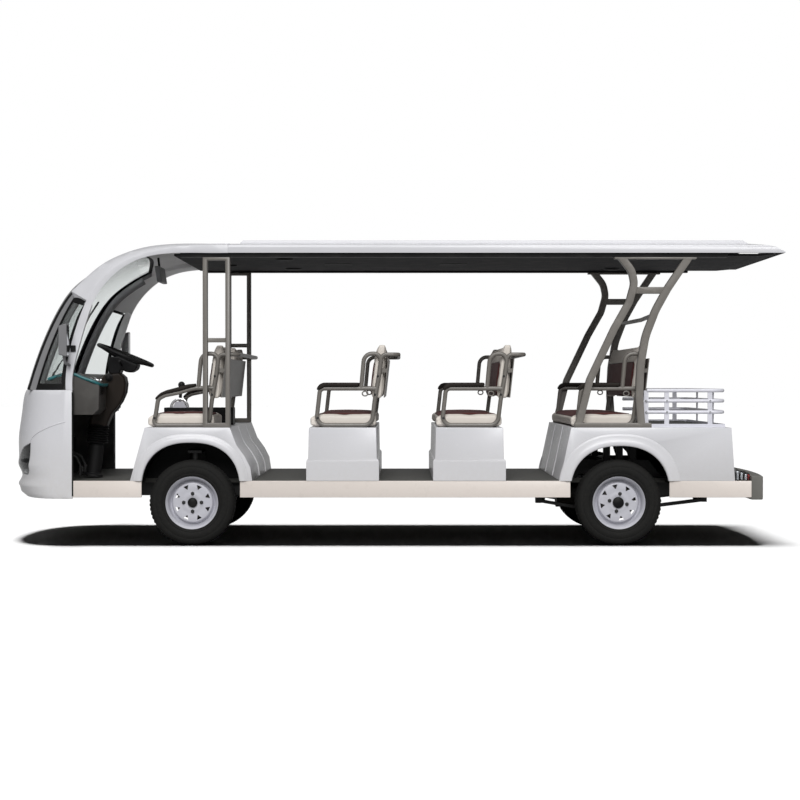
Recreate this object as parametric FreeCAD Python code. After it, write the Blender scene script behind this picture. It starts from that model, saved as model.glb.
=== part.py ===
"""Open electric sightseeing bus: four seat rows, full roof, bowed windscreen, rear luggage rack.

X runs from the nose (-) to the tail (+), Y from the driver's side (-) to the kerb side (+), and Z up
from the ground.  X = 0 is half way between nose and tail, so the frame's origin lies under the
middle of the bus.  All sizes are in millimetres.
"""
import FreeCAD, Part
import math
import os

# ---------------------------------------------------------------- driving dimensions
WHEELBASE = 2756.0
FRONT_OVERHANG = 1239.0        # nose ahead of the front axle
REAR_OVERHANG = 1067.0         # roof edge behind the rear axle
BODY_HALF_W = 745.0            # skirts, seat bases and cowl
TYRE_R = 276.0
TYRE_W = 155.0
RIM_R = 169.0                  # rim flange
WHEEL_FACE_Y = 740.0           # outer face of the tyre
FLOOR_Z = 419.0                # top of the floor
FLOOR_T = 30.0
SEAT_BASE_Z = 762.0            # top of the boxes that carry the seats
ROOF_EDGE_Z = 1887.0           # lower edge of the roof's side
ROOF_SIDE_H = 52.0
ROOF_PANEL_H = 44.0            # raised middle panel above the roof's crease
SHELL_T = 14.0                 # glass fibre mouldings
GLASS_T = 6.0
FRAME_TUBE_W = 30.0            # square posts of the roof frames
FRAME_TUBE_D = 50.0
SEAT_TUBE_R = 14.0
CUSHION_T = 98.0
BENCH_LEN = 470.0              # length of a middle seat base along X
CLEAR = 0.3                    # gap where soft or curved faces meet
MOVE_GAP = 6.0                 # gap round what moves
RAIL_Y = 300.0                 # inner face of the chassis rails
RAIL_W = 60.0
RAIL_H = 90.0
POST_W = 43.0                  # posts between the rear rails and the seat

# ---------------------------------------------------------------- stations worked out from them
LENGTH = FRONT_OVERHANG + WHEELBASE + REAR_OVERHANG
NOSE_X = -LENGTH / 2
TAIL_X = LENGTH / 2
FRONT_X = NOSE_X + FRONT_OVERHANG          # front axle
REAR_X = FRONT_X + WHEELBASE               # rear axle
AXLE_Z = TYRE_R
WHEEL_Y = WHEEL_FACE_Y - TYRE_W / 2
KINGPIN_Y = WHEEL_Y - TYRE_W / 2 - 40      # steering axis, just inside the tyre
STRUT_TOP_Z = AXLE_Z + 316
SKIRT_LOW_Z = FLOOR_Z - 107
ROOF_CREASE_Z = ROOF_EDGE_Z + ROOF_SIDE_H
ROOF_TOP_Z = ROOF_CREASE_Z + ROOF_PANEL_H
CEILING_Z = ROOF_EDGE_Z - 26               # underside of the roof frame

COWL_REAR_X = FRONT_X - 767
FRONT_BASE_X = (FRONT_X - 396, FRONT_X + 391)      # driver row box at the floor
REAR_BODY_X = (REAR_X - 383, REAR_X + 745)
LEG_SPACE = (REAR_BODY_X[0] - FRONT_BASE_X[1] - 2 * BENCH_LEN) / 3
BENCH_X = [FRONT_BASE_X[1] + LEG_SPACE + BENCH_LEN / 2,
           FRONT_BASE_X[1] + 2 * LEG_SPACE + 1.5 * BENCH_LEN]
REAR_SEAT_X = REAR_X - 88                  # middle of the last row's cushion
FRONT_SEAT_X = FRONT_X - 84                # middle of the driver row's cushions
# wheel arches: centre X and Z, half width, height above the centre, fullness of the curve
FRONT_ARCH = (FRONT_X - 5, AXLE_Z + 76, 317.0, 313.0, 2.4)
REAR_ARCH = (REAR_X + 4, AXLE_Z + 59, 319.0, 309.0, 2.3)
WHEELHOUSE_R = 345.0                       # wheel house behind the arch, with room to steer
WHEELHOUSE_Y = WHEEL_FACE_Y - 310          # inner wall of the wheel houses

V = FreeCAD.Vector
PARTS = {}


# ---------------------------------------------------------------- shape helpers
def box(x0, x1, y0, y1, z0, z1):
    return Part.makeBox(x1 - x0, y1 - y0, z1 - z0, V(x0, y0, z0))


def rod(start, end, radius):
    """Straight round bar between two points."""
    start, end = V(*start), V(*end)
    return Part.makeCylinder(radius, (end - start).Length, start, end - start)


def disc(x, y0, y1, z, radius):
    """Cylinder along Y."""
    return rod((x, y0, z), (x, y1, z), radius)


def fuse(shapes):
    whole = shapes[0]
    if len(shapes) > 1:
        whole = whole.fuse(shapes[1:])
    return whole.removeSplitter()


def mirrored(shape):
    return shape.mirror(V(0, 0, 0), V(0, 1, 0))


def both(shape):
    """The shape and its mirror image on the other side of the bus."""
    return [shape, mirrored(shape)]


def plate(points, y0, y1):
    """Flat outline in X and Z, extruded along Y."""
    wire = Part.makePolygon([V(x, y0, z) for x, z in points] + [V(points[0][0], y0, points[0][1])])
    return Part.Face(wire).extrude(V(0, y1 - y0, 0))


def plan(points, z0, z1):
    """Flat outline in X and Y, extruded upwards."""
    wire = Part.makePolygon([V(x, y, z0) for x, y in points] + [V(points[0][0], points[0][1], z0)])
    return Part.Face(wire).extrude(V(0, 0, z1 - z0))


def section(points, x0, x1):
    """Flat outline in Y and Z, extruded along X."""
    wire = Part.makePolygon([V(x0, y, z) for y, z in points] + [V(x0, points[0][0], points[0][1])])
    return Part.Face(wire).extrude(V(x1 - x0, 0, 0))


def curve(points):
    """Smooth edge through the points."""
    spline = Part.BSplineCurve()
    spline.interpolate([V(*p) for p in points])
    return spline.toShape()


def ribbon(outer, inner, y):
    """Closed outline at one Y: a smooth outer and a smooth inner curve, joined at both ends."""
    a = [(x, y, z) for x, z in outer]
    b = [(x, y, z) for x, z in inner]
    return Part.Wire([curve(a), Part.makeLine(V(*a[-1]), V(*b[-1])), curve(b[::-1]),
                      Part.makeLine(V(*b[0]), V(*a[0]))])


def bent_path(points, bend):
    """Wire through the points with every corner rounded."""
    points = [V(*p) for p in points]
    edges = []
    start = points[0]
    for before, corner, after in zip(points, points[1:], points[2:]):
        back = (before - corner).normalize()
        on = (after - corner).normalize()
        half = back.getAngle(on) / 2
        reach = min(bend / math.tan(half), 0.45 * (before - corner).Length,
                    0.45 * (after - corner).Length)
        radius = reach * math.tan(half)
        first, last = corner + back * reach, corner + on * reach
        middle = corner + (back + on).normalize() * (radius / math.sin(half) - radius)
        edges.append(Part.LineSegment(start, first).toShape())
        edges.append(Part.Arc(first, middle, last).toShape())
        start = last
    edges.append(Part.LineSegment(start, points[-1]).toShape())
    return Part.Wire(edges)


def bent_rod(points, radius, bend=60):
    """Round bar along a bent path."""
    ring = Part.Wire([Part.makeCircle(radius, V(*points[0]), V(*points[1]) - V(*points[0]))])
    return bent_path(points, bend).makePipeShell([ring], True, False)


def bent_bar(points, width, y0, y1, bend=90):
    """Rectangular bar that follows points in X and Z, from y0 to y1."""
    depth = y1 - y0
    middle = (y0 + y1) / 2
    path = bent_path([(x, middle, z) for x, z in points], bend)
    start = V(points[0][0], middle, points[0][1])
    along = (V(points[1][0], middle, points[1][1]) - start).normalize()
    side = along.cross(V(0, 1, 0))
    corners = [start + side * (width / 2 * i) + V(0, depth / 2 * j, 0)
               for i, j in ((1, 1), (1, -1), (-1, -1), (-1, 1), (1, 1))]
    return path.makePipeShell([Part.makePolygon(corners)], True, False)


def add(name, shapes):
    """Keep a piece under its node name; several solids make one node."""
    if not isinstance(shapes, list):
        shapes = [shapes]
    PARTS[name] = [solid for shape in shapes for solid in shape.Solids]


def shift(points, dx, dz=0.0):
    return [(x + dx, z + dz) for x, z in points]


# ---------------------------------------------------------------- front end
BOW_DEPTH = 436.0              # how far the nose stands ahead of the cowl's side
BOW_HALF_W = BODY_HALF_W + 3
BOW_POWER = 2.4                # fullness of the bow in plan
COWL_TOP_Z = 1004.0
COWL_LOW_Z = 303.0
PILLAR_Y = 600.0               # inner edge of the windscreen pillars


def bow(y, depth=BOW_DEPTH, half_w=BOW_HALF_W):
    """How far the front surface has fallen back at y, from its point on the centre line."""
    share = min(abs(y) / half_w, 1.0)
    return depth * (1 - (1 - share ** BOW_POWER) ** (1 / BOW_POWER))


def cowl_outline(z, setback, wall):
    """Plan of the nose at height z: a full bow and straight sides back to the cowl's rear edge."""
    half_w = BODY_HALF_W - wall
    side_x = COWL_REAR_X - 40
    depth = side_x - (NOSE_X + setback + wall)
    steps = 12
    points = []
    for i in range(-steps, steps + 1):
        angle = math.pi / 2 * i / steps
        y = half_w * math.copysign(abs(math.sin(angle)) ** (2 / BOW_POWER), angle)
        x = side_x - depth * math.cos(angle) ** (2 / BOW_POWER) if abs(i) < steps else side_x
        points.append((x, y, z))
    rear = COWL_REAR_X + (0 if wall == 0 else 10)
    return Part.Wire([curve(points),
                      Part.makeLine(V(side_x, half_w, z), V(rear, half_w, z)),
                      Part.makeLine(V(rear, half_w, z), V(rear, -half_w, z)),
                      Part.makeLine(V(rear, -half_w, z), V(side_x, -half_w, z))])


NOSE_Z = 590.0                 # height of the foremost point
WAIST_Z = 446.0                # hollow between the nose and the chin
WAIST_DEPTH = 23.0
CHIN_Z = 368.0
CHIN_SETBACK = 60.0


def nose_setback(z):
    """How far the centre line has fallen back from the foremost point at height z."""
    slope = 58 if z > NOSE_Z else 26
    waist = WAIST_DEPTH * math.exp(-((z - WAIST_Z) / 36) ** 2)
    return slope * ((z - NOSE_Z) / (COWL_TOP_Z - NOSE_Z)) ** 2 + waist


def cowl_solid(wall):
    """The nose up to the windscreen's foot, with the chin turned in below."""
    heights = [CHIN_Z, 406, WAIST_Z, 488, 545, 640, 760, 880, COWL_TOP_Z]
    upper = Part.makeLoft([cowl_outline(z, nose_setback(z), wall) for z in heights], True, False)
    low_z = COWL_LOW_Z - (1 if wall else 0)
    chin = [(low_z, CHIN_SETBACK), (COWL_LOW_Z + 30, 18), (CHIN_Z, nose_setback(CHIN_Z))]
    lower = Part.makeLoft([cowl_outline(z, setback, wall) for z, setback in chin], True, True)
    return upper.fuse(lower).removeSplitter()


# half outline of a lamp, seen from the front, with its point at the upper outer corner
HEADLAMP = [(400, 480), (500, 450), (600, 452), (628, 480), (640, 540), (648, 600), (652, 660),
            (560, 625),
            (455, 560)]


def front_cowl():
    shell = cowl_solid(0).cut(cowl_solid(SHELL_T))
    lamps = []
    for side in (-1, 1):
        outline = [(side * y, z) for y, z in HEADLAMP]
        window = section(outline, NOSE_X - 10, COWL_REAR_X - 150)
        lamps.append(shell.common(window))
        shell = shell.cut(window)
    add("front_cowl", shell)
    add("headlamps", lamps)


# centre line of the windscreen and the roof's front, relative to the front axle
SCREEN_PROFILE = [(-1182, 1009), (-1126, 1191), (-1072, 1335), (-1014, 1464), (-953, 1576), (-890, 1664),
                  (-765, 1768), (-620, 1852), (-500, 1902), (-384, 1930), (-200, 1950), (0, 1957),
                  (236, 1958)]
SEAL_W = 28.0                  # black border round each pane
SCREEN_STRIP_PROUD = 20.0      # rubber strip between the panes, ahead of the glass
SCREEN_STRIP_DEPTH = 32.0


def screen_section(y, first, last, inner_shift):
    """Outline of the front skin at y between two points of its profile."""
    outer = shift(SCREEN_PROFILE[first:last], FRONT_X + bow(y))
    inner = shift(outer, inner_shift * 0.75, -inner_shift * 0.75)
    return ribbon(outer, inner, y)


def header_cutter(forward=0.0):
    """Everything behind the line where the glass meets the roof, bowed in plan."""
    half_w = PILLAR_Y + 40
    line_x = FRONT_X - 467 - forward
    edge = [(line_x + 83 * (1 - (half_w * i / 8 / PILLAR_Y) ** 2), half_w * i / 8) for i in range(-8, 9)]
    return plan(edge + [(FRONT_X + 900, half_w), (FRONT_X + 900, -half_w)], 1500, 2100)


def front_skin(y_list, last, thickness, first=0):
    return Part.makeLoft([screen_section(y, first, last, thickness) for y in y_list], True, False)


def windscreen():
    """One large bowed pane, a curved pane at each corner, and the black border round all three."""
    wide = [-PILLAR_Y, -400, -200, 0, 200, 400, PILLAR_Y]
    glass = front_skin(wide, 11, GLASS_T).cut(header_cutter())
    corner = front_skin([PILLAR_Y + 24, 660, 700, 725, 740], 6, GLASS_T).cut(front_arch())
    corner = max(corner.Solids, key=lambda solid: solid.Volume)
    clear_y = PILLAR_Y - SEAL_W
    clear_z = SCREEN_PROFILE[0][1] + SEAL_W
    middle = box(NOSE_X, FRONT_X, -clear_y, clear_y, clear_z, 2000).cut(header_cutter(SEAL_W))
    side = box(NOSE_X, FRONT_X, PILLAR_Y + 24 + SEAL_W / 2, 800, clear_z + 8, 2000)
    side = side.cut(front_arch().translated(V(-SEAL_W, 0, -12)))
    add("windscreen", [glass.common(middle)] + both(corner.common(side)))
    add("windscreen_seals", [glass.cut(middle)] + both(corner.cut(side)))


def windscreen_pillars():
    outer = shift(SCREEN_PROFILE[:9], FRONT_X + bow(PILLAR_Y) - SCREEN_STRIP_PROUD)
    inner = shift(outer, SCREEN_STRIP_DEPTH, -0.8 * SCREEN_STRIP_DEPTH)
    face = Part.Face(ribbon(outer, inner, PILLAR_Y + CLEAR))
    foot = box(FRONT_X - 1300, FRONT_X, 0, 800, 900, COWL_TOP_Z + CLEAR)
    pillar = face.extrude(V(0, 23, 0)).cut(header_cutter()).cut(foot)
    add("windscreen_pillars", both(pillar))


# side view of the arches, relative to the front axle
ARCH_TOP_IN = [(-796, 1646), (-698, 1739), (-590, 1826), (-466, 1888), (-334, 1930), (-202, 1950),
               (-60, 1957),
               (236, 1958)]
ARCH_TOP_OUT = [(-674, 1582), (-610, 1676), (-530, 1762), (-430, 1832), (-320, 1880), (-200, 1912),
                (-60, 1930),
                (236, 1939)]
ARCH_UNDER_OUT = [(-640, 1550), (-578, 1657), (-504, 1740), (-399, 1818), (-270, 1866), (-160, 1882),
                  (-60, 1887), (236, 1887)]
POST_FRONT = [(-809, 1004), (-803, 1147), (-775, 1290), (-734, 1430), (-674, 1582)]
POST_REAR = [(-767, 1004), (-761, 1127), (-734, 1243), (-690, 1400), (-640, 1550)]


def front_arch():
    """One side of the front roof: the arched brow over the door way and the post below it."""
    under_in = shift(ARCH_TOP_IN, 18, -52)
    brow = Part.makeLoft([ribbon(shift(ARCH_TOP_IN, FRONT_X), shift(under_in, FRONT_X), PILLAR_Y + 24),
                          ribbon(shift(ARCH_TOP_OUT, FRONT_X), shift(ARCH_UNDER_OUT, FRONT_X),
                                 BODY_HALF_W)],
                         True, False)
    post = Part.Face(ribbon(shift(POST_FRONT, FRONT_X), shift(POST_REAR, FRONT_X), BODY_HALF_W - 30))
    return brow.fuse(post.extrude(V(0, 30, 0)))


def front_roof_shell():
    wide = [-PILLAR_Y - 40, -400, -200, 0, 200, 400, PILLAR_Y + 40]
    skin = front_skin(wide, 13, SHELL_T, 7).common(header_cutter())
    seam = box(FRONT_X + 236, FRONT_X + 900, -800, 800, 1500, 2100)
    arch = front_arch()
    shell = skin.fuse([arch, mirrored(arch)]).cut(seam)
    add("front_roof_shell", shell.removeSplitter())


def roof_outline(inset):
    """Half section of the roof at one side, closed through the middle of the bus."""
    w = BODY_HALF_W - inset
    top = ROOF_CREASE_Z - inset
    right = [(w, ROOF_EDGE_Z - 1 if inset else ROOF_EDGE_Z), (w, top - 14), (w - 14, top),
             (600, top + 19)]
    return right + [(-y, z) for y, z in right[::-1]]


def roof_shell():
    seam_x = FRONT_X + 236 + CLEAR
    panel_x = (FRONT_X + 300, REAR_X + 860)
    panel_w = 596.0
    slab = section(roof_outline(0), seam_x, TAIL_X)
    inner = section(roof_outline(SHELL_T), seam_x - 5, TAIL_X - 60)
    panel = box(panel_x[0], panel_x[1], -panel_w, panel_w, ROOF_CREASE_Z, ROOF_TOP_Z)
    panel = panel.makeChamfer(18, [e for e in panel.Edges if e.BoundBox.ZMin > ROOF_TOP_Z - 1])
    hollow = box(panel_x[0] + 20, panel_x[1] - 20, -panel_w + 20, panel_w - 20, ROOF_EDGE_Z - 1,
                 ROOF_TOP_Z - SHELL_T)
    tail = plate([(REAR_X + 800, ROOF_TOP_Z + 20), (REAR_X + 860, ROOF_CREASE_Z + 19),
                  (TAIL_X - 60, ROOF_CREASE_Z - 12), (TAIL_X, ROOF_EDGE_Z + 8),
                  (TAIL_X, ROOF_TOP_Z + 20)],
                 -900, 900)
    shell = slab.cut(inner).fuse(panel).cut(hollow).cut(tail)
    add("roof_shell", shell.removeSplitter())


def ceiling():
    """Dark lining under the roof, with its rear end sloping up to the roof's tail."""
    front_x, bend_x, end_x = FRONT_X - 120, TAIL_X - 160, TAIL_X - 30
    outline = [(front_x, ROOF_EDGE_Z - 14), (bend_x, ROOF_EDGE_Z - 14), (end_x, ROOF_EDGE_Z - 2),
               (end_x, ROOF_EDGE_Z - CLEAR), (front_x, ROOF_EDGE_Z - CLEAR)]
    half_w = BODY_HALF_W - 70
    add("ceiling", plate(outline, -half_w, half_w))


def roof_rails():
    """Black frame under the roof's edges and its cross members."""
    x0, x1 = FRONT_X - 72, REAR_X + 700
    y1 = BODY_HALF_W - SHELL_T - CLEAR
    y0 = BODY_HALF_W - 70 + CLEAR
    add("roof_rails", both(box(x0, x1, y0, y1, CEILING_Z, ROOF_EDGE_Z - CLEAR)))


# ---------------------------------------------------------------- floor, skirts, chassis
def arch_room(arch, y0, grow=0.0):
    """Prism through a wheel arch, from y0 outwards and down to the ground."""
    x, z, half_w, height, power = arch
    steps = 24
    points = []
    for i in range(steps + 1):
        angle = math.pi * i / steps
        run, rise = math.cos(angle), math.sin(angle)
        points.append((x + (half_w + grow) * math.copysign(abs(run) ** (2 / power), run), y0,
                       z + (height + grow) * abs(rise) ** (2 / power)))
    left, right = V(points[-1][0], y0, 0), V(points[0][0], y0, 0)
    wire = Part.Wire([curve(points), Part.makeLine(V(*points[-1]), left), Part.makeLine(left, right),
                      Part.makeLine(right, V(*points[0]))])
    return Part.Face(wire).extrude(V(0, 900 - y0, 0))


def wheelhouse(arch, inner_y, radius):
    """The space a wheel needs, open downwards and outwards."""
    x, z = arch[:2]
    return disc(x, inner_y, 900, z, radius).fuse(box(x - radius, x + radius, inner_y, 900, 0, z))


def floor():
    """Floor sheet from the toe board to the bumper, open above the wheels, struts and rear rails."""
    half_w = BODY_HALF_W - 15
    sheet = box(COWL_REAR_X, REAR_X + 852, -half_w, half_w, FLOOR_Z - FLOOR_T, FLOOR_Z)
    toe = box(COWL_REAR_X - 200, COWL_REAR_X, -half_w + 40, half_w - 40, FLOOR_Z - FLOOR_T, FLOOR_Z)
    lips = box(COWL_REAR_X - 38, COWL_REAR_X, -BODY_HALF_W + SHELL_T + CLEAR,
               BODY_HALF_W - SHELL_T - CLEAR,
               FLOOR_Z - FLOOR_T, FLOOR_Z)
    sheet = sheet.fuse([toe, lips])
    for y0, y1 in ((RAIL_Y - 1, RAIL_Y + RAIL_W + 1), (-RAIL_Y - RAIL_W - 1, 1 - RAIL_Y)):
        sheet = sheet.cut(box(FRONT_X - 46, FRONT_X + 46, y0, y1, FLOOR_Z - 100, FLOOR_Z + 100))
    for arch in (FRONT_ARCH, REAR_ARCH):
        for room in both(wheelhouse(arch, WHEELHOUSE_Y - 10, WHEELHOUSE_R + 10)):
            sheet = sheet.cut(room)
    tunnel_w = RAIL_Y + RAIL_W + 5
    tunnel = box(REAR_X - 365, REAR_X + 365, -tunnel_w, tunnel_w, FLOOR_Z - 100, FLOOR_Z + 100)
    add("floor", sheet.cut(tunnel).removeSplitter())


def side_skirts():
    spans = [(COWL_REAR_X + 1, FRONT_X - 322), (FRONT_X + 312, REAR_X - 315),
             (REAR_X + 323, REAR_X + 852)]
    strips = [box(x0, x1, BODY_HALF_W - 15, BODY_HALF_W, SKIRT_LOW_Z, FLOOR_Z) for x0, x1 in spans]
    add("side_skirts", [solid for strip in strips for solid in both(strip)])


def chassis_frame():
    """Ladder frame, kicked up over the rear axle, with seat posts and a tower for each strut."""
    top = FLOOR_Z - FLOOR_T
    kick = 146.0
    outline = [(COWL_REAR_X - 190, top), (REAR_X - 360, top), (REAR_X - 250, top + kick),
               (REAR_X + 250, top + kick), (REAR_X + 360, top), (REAR_X + 850, top),
               (REAR_X + 850, top - RAIL_H), (REAR_X + 330, top - RAIL_H),
               (REAR_X + 215, top + kick - RAIL_H),
               (REAR_X - 215, top + kick - RAIL_H), (REAR_X - 330, top - RAIL_H),
               (COWL_REAR_X - 190, top - RAIL_H)]
    rails = both(plate(outline, RAIL_Y, RAIL_Y + RAIL_W))
    cross = []
    for x, z in ((COWL_REAR_X - 150, top), (FRONT_X - 400, top), (FRONT_X + 330, top), (BENCH_X[0], top),
                 (BENCH_X[1], top), (REAR_X - 480, top), (REAR_X, top + kick), (REAR_X + 780, top)):
        cross.append(box(x - 30, x + 30, -RAIL_Y, RAIL_Y, z - 60, z))
    for x in (FRONT_X + 380, BENCH_X[0], BENCH_X[1], REAR_X - 520, REAR_X + 560):
        cross.extend(both(box(x - 25, x + 25, RAIL_Y + RAIL_W, BODY_HALF_W - 15, top - 50, top)))
    seat_low = SEAT_BASE_Z - SHELL_T - CLEAR
    stations = [REAR_X - 28, REAR_X + 57, REAR_X + 147]
    for x in stations:
        cross.extend(both(box(x - POST_W / 2, x + POST_W / 2, RAIL_Y + 8, RAIL_Y + 51, top + kick,
                              seat_low)))
    x0, x1 = stations[1] + 10, stations[2] - 10
    brace = [(x0 - 12, seat_low), (x0 + 12, seat_low), (x1 + 12, top + kick), (x1 - 12, top + kick)]
    cross.extend(both(plate(brace, RAIL_Y + 18, RAIL_Y + 42)))
    tower = box(FRONT_X - 45, FRONT_X + 45, RAIL_Y, RAIL_Y + RAIL_W, top, STRUT_TOP_Z)
    arm = box(FRONT_X - 45, FRONT_X + 45, RAIL_Y, KINGPIN_Y + 40, STRUT_TOP_Z, STRUT_TOP_Z + 16)
    add("chassis_frame", fuse(rails + cross + both(tower) + both(arm)))


# ---------------------------------------------------------------- seat bases and rear body
def seat_box(profile, wall, y_half):
    """Outer and inner solid of an open-bottomed box with a side outline."""
    outer = plate(profile, -y_half, y_half)
    xs = [x for x, z in profile]
    middle = (min(xs) + max(xs)) / 2
    inner_profile = [(x + (wall if x < middle else -wall), z - (wall if z > FLOOR_Z + 20 else 5))
                     for x, z in profile]
    inner = plate(inner_profile, -y_half + wall, y_half - wall)
    return outer, inner


def arched_shell(profile, arch):
    """Seat box with a wheel arch cut in each side wall and a thicker wall round the arch."""
    outer, inner = seat_box(profile, SHELL_T, BODY_HALF_W)
    shell = outer.cut(inner)
    for room in both(arch_room(arch, BODY_HALF_W - SHELL_T - 1)):
        shell = shell.cut(room)
    return shell.fuse(wheel_flare(arch)).removeSplitter()


def front_seat_base():
    profile = shift([(-396, FLOOR_Z), (-302, SEAT_BASE_Z), (246, SEAT_BASE_Z), (289, SEAT_BASE_Z - 112),
                     (344, SEAT_BASE_Z - 188), (378, SEAT_BASE_Z - 256), (391, FLOOR_Z)], FRONT_X)
    add("front_seat_base", arched_shell(profile, FRONT_ARCH))


def wheel_flare(arch):
    """Thickened edge round each wheel arch, both sides."""
    face_y = BODY_HALF_W - 8
    keep = box(arch[0] - 500, arch[0] + 500, face_y, BODY_HALF_W, FLOOR_Z, FLOOR_Z + 600)
    band = arch_room(arch, face_y, 34).common(keep).cut(arch_room(arch, 0))
    return both(band)


def wheel_liners():
    """Black inner arches of the front wheel houses, open where the strut's arm passes."""
    y0, y1 = WHEELHOUSE_Y - 6, BODY_HALF_W - SHELL_T - CLEAR
    x, z = FRONT_ARCH[:2]
    outer = disc(x, y0, y1, z, WHEELHOUSE_R)
    inner = disc(x, WHEELHOUSE_Y, y1 + 10, z, WHEELHOUSE_R - 6)
    shell = outer.cut(inner).cut(box(x - 400, x + 400, 0, 900, -200, FLOOR_Z + CLEAR))
    shell = shell.cut(box(FRONT_X - 51, FRONT_X + 51, 0, 700, 0, STRUT_TOP_Z + 22))
    add("wheel_liners", both(shell))


def bench_bases():
    bases = []
    for x in BENCH_X:
        half = BENCH_LEN / 2
        step_z = FLOOR_Z + 134
        outline = [(x - half, FLOOR_Z), (x - half + 3, step_z), (x - half + 13, step_z + 8),
                   (x - half + 18, SEAT_BASE_Z), (x + half - 18, SEAT_BASE_Z),
                   (x + half - 14, step_z + 8),
                   (x + half - 3, step_z), (x + half, FLOOR_Z)]
        outer, inner = seat_box(outline, SHELL_T, BODY_HALF_W)
        bases.append(outer.cut(inner))
    add("bench_bases", bases)


def rear_body():
    """Box under the last row and the luggage deck, and the lamps on the step behind it."""
    profile = shift([(-383, FLOOR_Z), (-311, SEAT_BASE_Z), (722, SEAT_BASE_Z), (745, FLOOR_Z)], REAR_X)
    add("rear_body", arched_shell(profile, REAR_ARCH))
    wedge = shift([(752, FLOOR_Z), (752, FLOOR_Z + 78), (846, FLOOR_Z + 43), (846, FLOOR_Z)], REAR_X)
    add("tail_lamps", both(plate(wedge, BODY_HALF_W - 185, BODY_HALF_W - 30)))


# ---------------------------------------------------------------- roof frames
PARTITION_X = (FRONT_X + 86, FRONT_X + 232)
POST_Y = BODY_HALF_W - 15                   # outer face of the roof posts


def partition_frames():
    """Ladder frame behind each front seat, from the seat base to the roof."""
    y1 = POST_Y
    y0 = POST_Y - FRAME_TUBE_D
    w = FRAME_TUBE_W / 2
    a, b = PARTITION_X
    low, top = SEAT_BASE_Z, CEILING_Z
    side = fuse([box(a - w, a + w, y0, y1, low, top), box(b - w, b + w, y0, y1, low, top),
                 box(a - w, b + w, y0, y1, low, low + 30),
                 box(a, b, y0 + 10, y1 - 10, low + 550, low + 578),
                 box(a - w, b + w, y0, y1, top - 20, top)])
    add("partition_frames", both(side))


CANOPY_FRONT = [(-258, 786), (-187, 1069), (-30, 1400), (66, 1570), (99, 1690), (82, 1775), (8, 1868)]
CANOPY_REAR = [(144, 786), (131, 959), (140, 1165), (171, 1350), (236, 1519), (314, 1660), (455, 1868)]


def canopy_frames():
    """Curved pair of legs each side of the last row, tied by a rail, a bar and a cross rail."""
    y1 = POST_Y
    y0 = POST_Y - FRAME_TUBE_D
    front = bent_bar(shift(CANOPY_FRONT, REAR_X), 46, y0, y1, 120)
    rear = bent_bar(shift(CANOPY_REAR, REAR_X), 48, y0, y1, 400)
    foot = box(REAR_X - 285, REAR_X + 210, y0, y1, SEAT_BASE_Z, SEAT_BASE_Z + 30)
    head = box(REAR_X - 31, REAR_X + 499, y0, y1, CEILING_Z - 12, CEILING_Z)
    tie = box(REAR_X + 85, REAR_X + 306, y0 + 8, y1 - 8, 1626, 1669)
    trim = box(REAR_X - 500, REAR_X + 700, -900, 900, CEILING_Z, 2100)
    side = fuse([front, rear, foot, head, tie]).cut(trim)
    side = side.cut(box(REAR_X - 500, REAR_X + 700, -900, 900, 0, SEAT_BASE_Z))
    rail_x, rail_z = REAR_X + 220, 1485
    rail = bent_rod([(rail_x, y0 + 5, rail_z), (rail_x, y0 - 70, rail_z), (rail_x + 32, 0, rail_z),
                     (rail_x, 70 - y0, rail_z), (rail_x, -y0 - 5, rail_z)], 14, 60)
    add("canopy_frames", fuse([side, mirrored(side), rail]))


# ---------------------------------------------------------------- seats
CUSHION_LEN = 435.0
BACK_LOW_Z = SEAT_BASE_Z + 187
BACK_TOP_Z = SEAT_BASE_Z + 540
BACK_T = 92.0                              # thickness at the foot and at the top
BACK_TOP_T = 64.0
BACK_LEAN = 50.0                           # how far the front face falls back from foot to top
BACK_FRONT = 168.0                         # foot of the backrest behind the cushion's middle
BENCH_HALF_W = 640.0
FRONT_SEAT_Y = (150.0, BENCH_HALF_W)       # inner and outer side of each front seat
ARM_Y = BENCH_HALF_W + SEAT_TUBE_R + 2     # tubes beside the pads
ARM_Z = SEAT_BASE_Z + 252                  # middle of the arm tubes
LOOP_Z = SEAT_BASE_Z + 478                 # top of the side loop and the grab rail behind the backrest


def cushion(x, y0, y1):
    pad = box(x - CUSHION_LEN / 2, x + CUSHION_LEN / 2, y0, y1, SEAT_BASE_Z + CLEAR,
              SEAT_BASE_Z + CUSHION_T)
    return pad.makeFillet(22, [e for e in pad.Edges if e.BoundBox.ZMin > SEAT_BASE_Z + 50])


def backrest(x, y0, y1):
    """Slightly reclined pad; x is the middle of the cushion below."""
    foot = x + BACK_FRONT
    outline = [(foot, BACK_LOW_Z), (foot + BACK_T, BACK_LOW_Z),
               (foot + BACK_LEAN + BACK_TOP_T, BACK_TOP_Z),
               (foot + BACK_LEAN, BACK_TOP_Z)]
    pad = plate(outline, y0, y1)
    return pad.makeFillet(16, pad.Edges)


def seats():
    y0, y1 = FRONT_SEAT_Y
    add("front_cushions", both(cushion(FRONT_SEAT_X, y0, y1)))
    add("front_backrests", both(backrest(FRONT_SEAT_X, y0, y1)))
    for name, x in (("second_row", BENCH_X[0]), ("third_row", BENCH_X[1]), ("rear_row", REAR_SEAT_X)):
        add(name + "_cushion", cushion(x, -BENCH_HALF_W, BENCH_HALF_W))
        add(name + "_backrest", backrest(x, -BENCH_HALF_W, BENCH_HALF_W))


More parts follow.
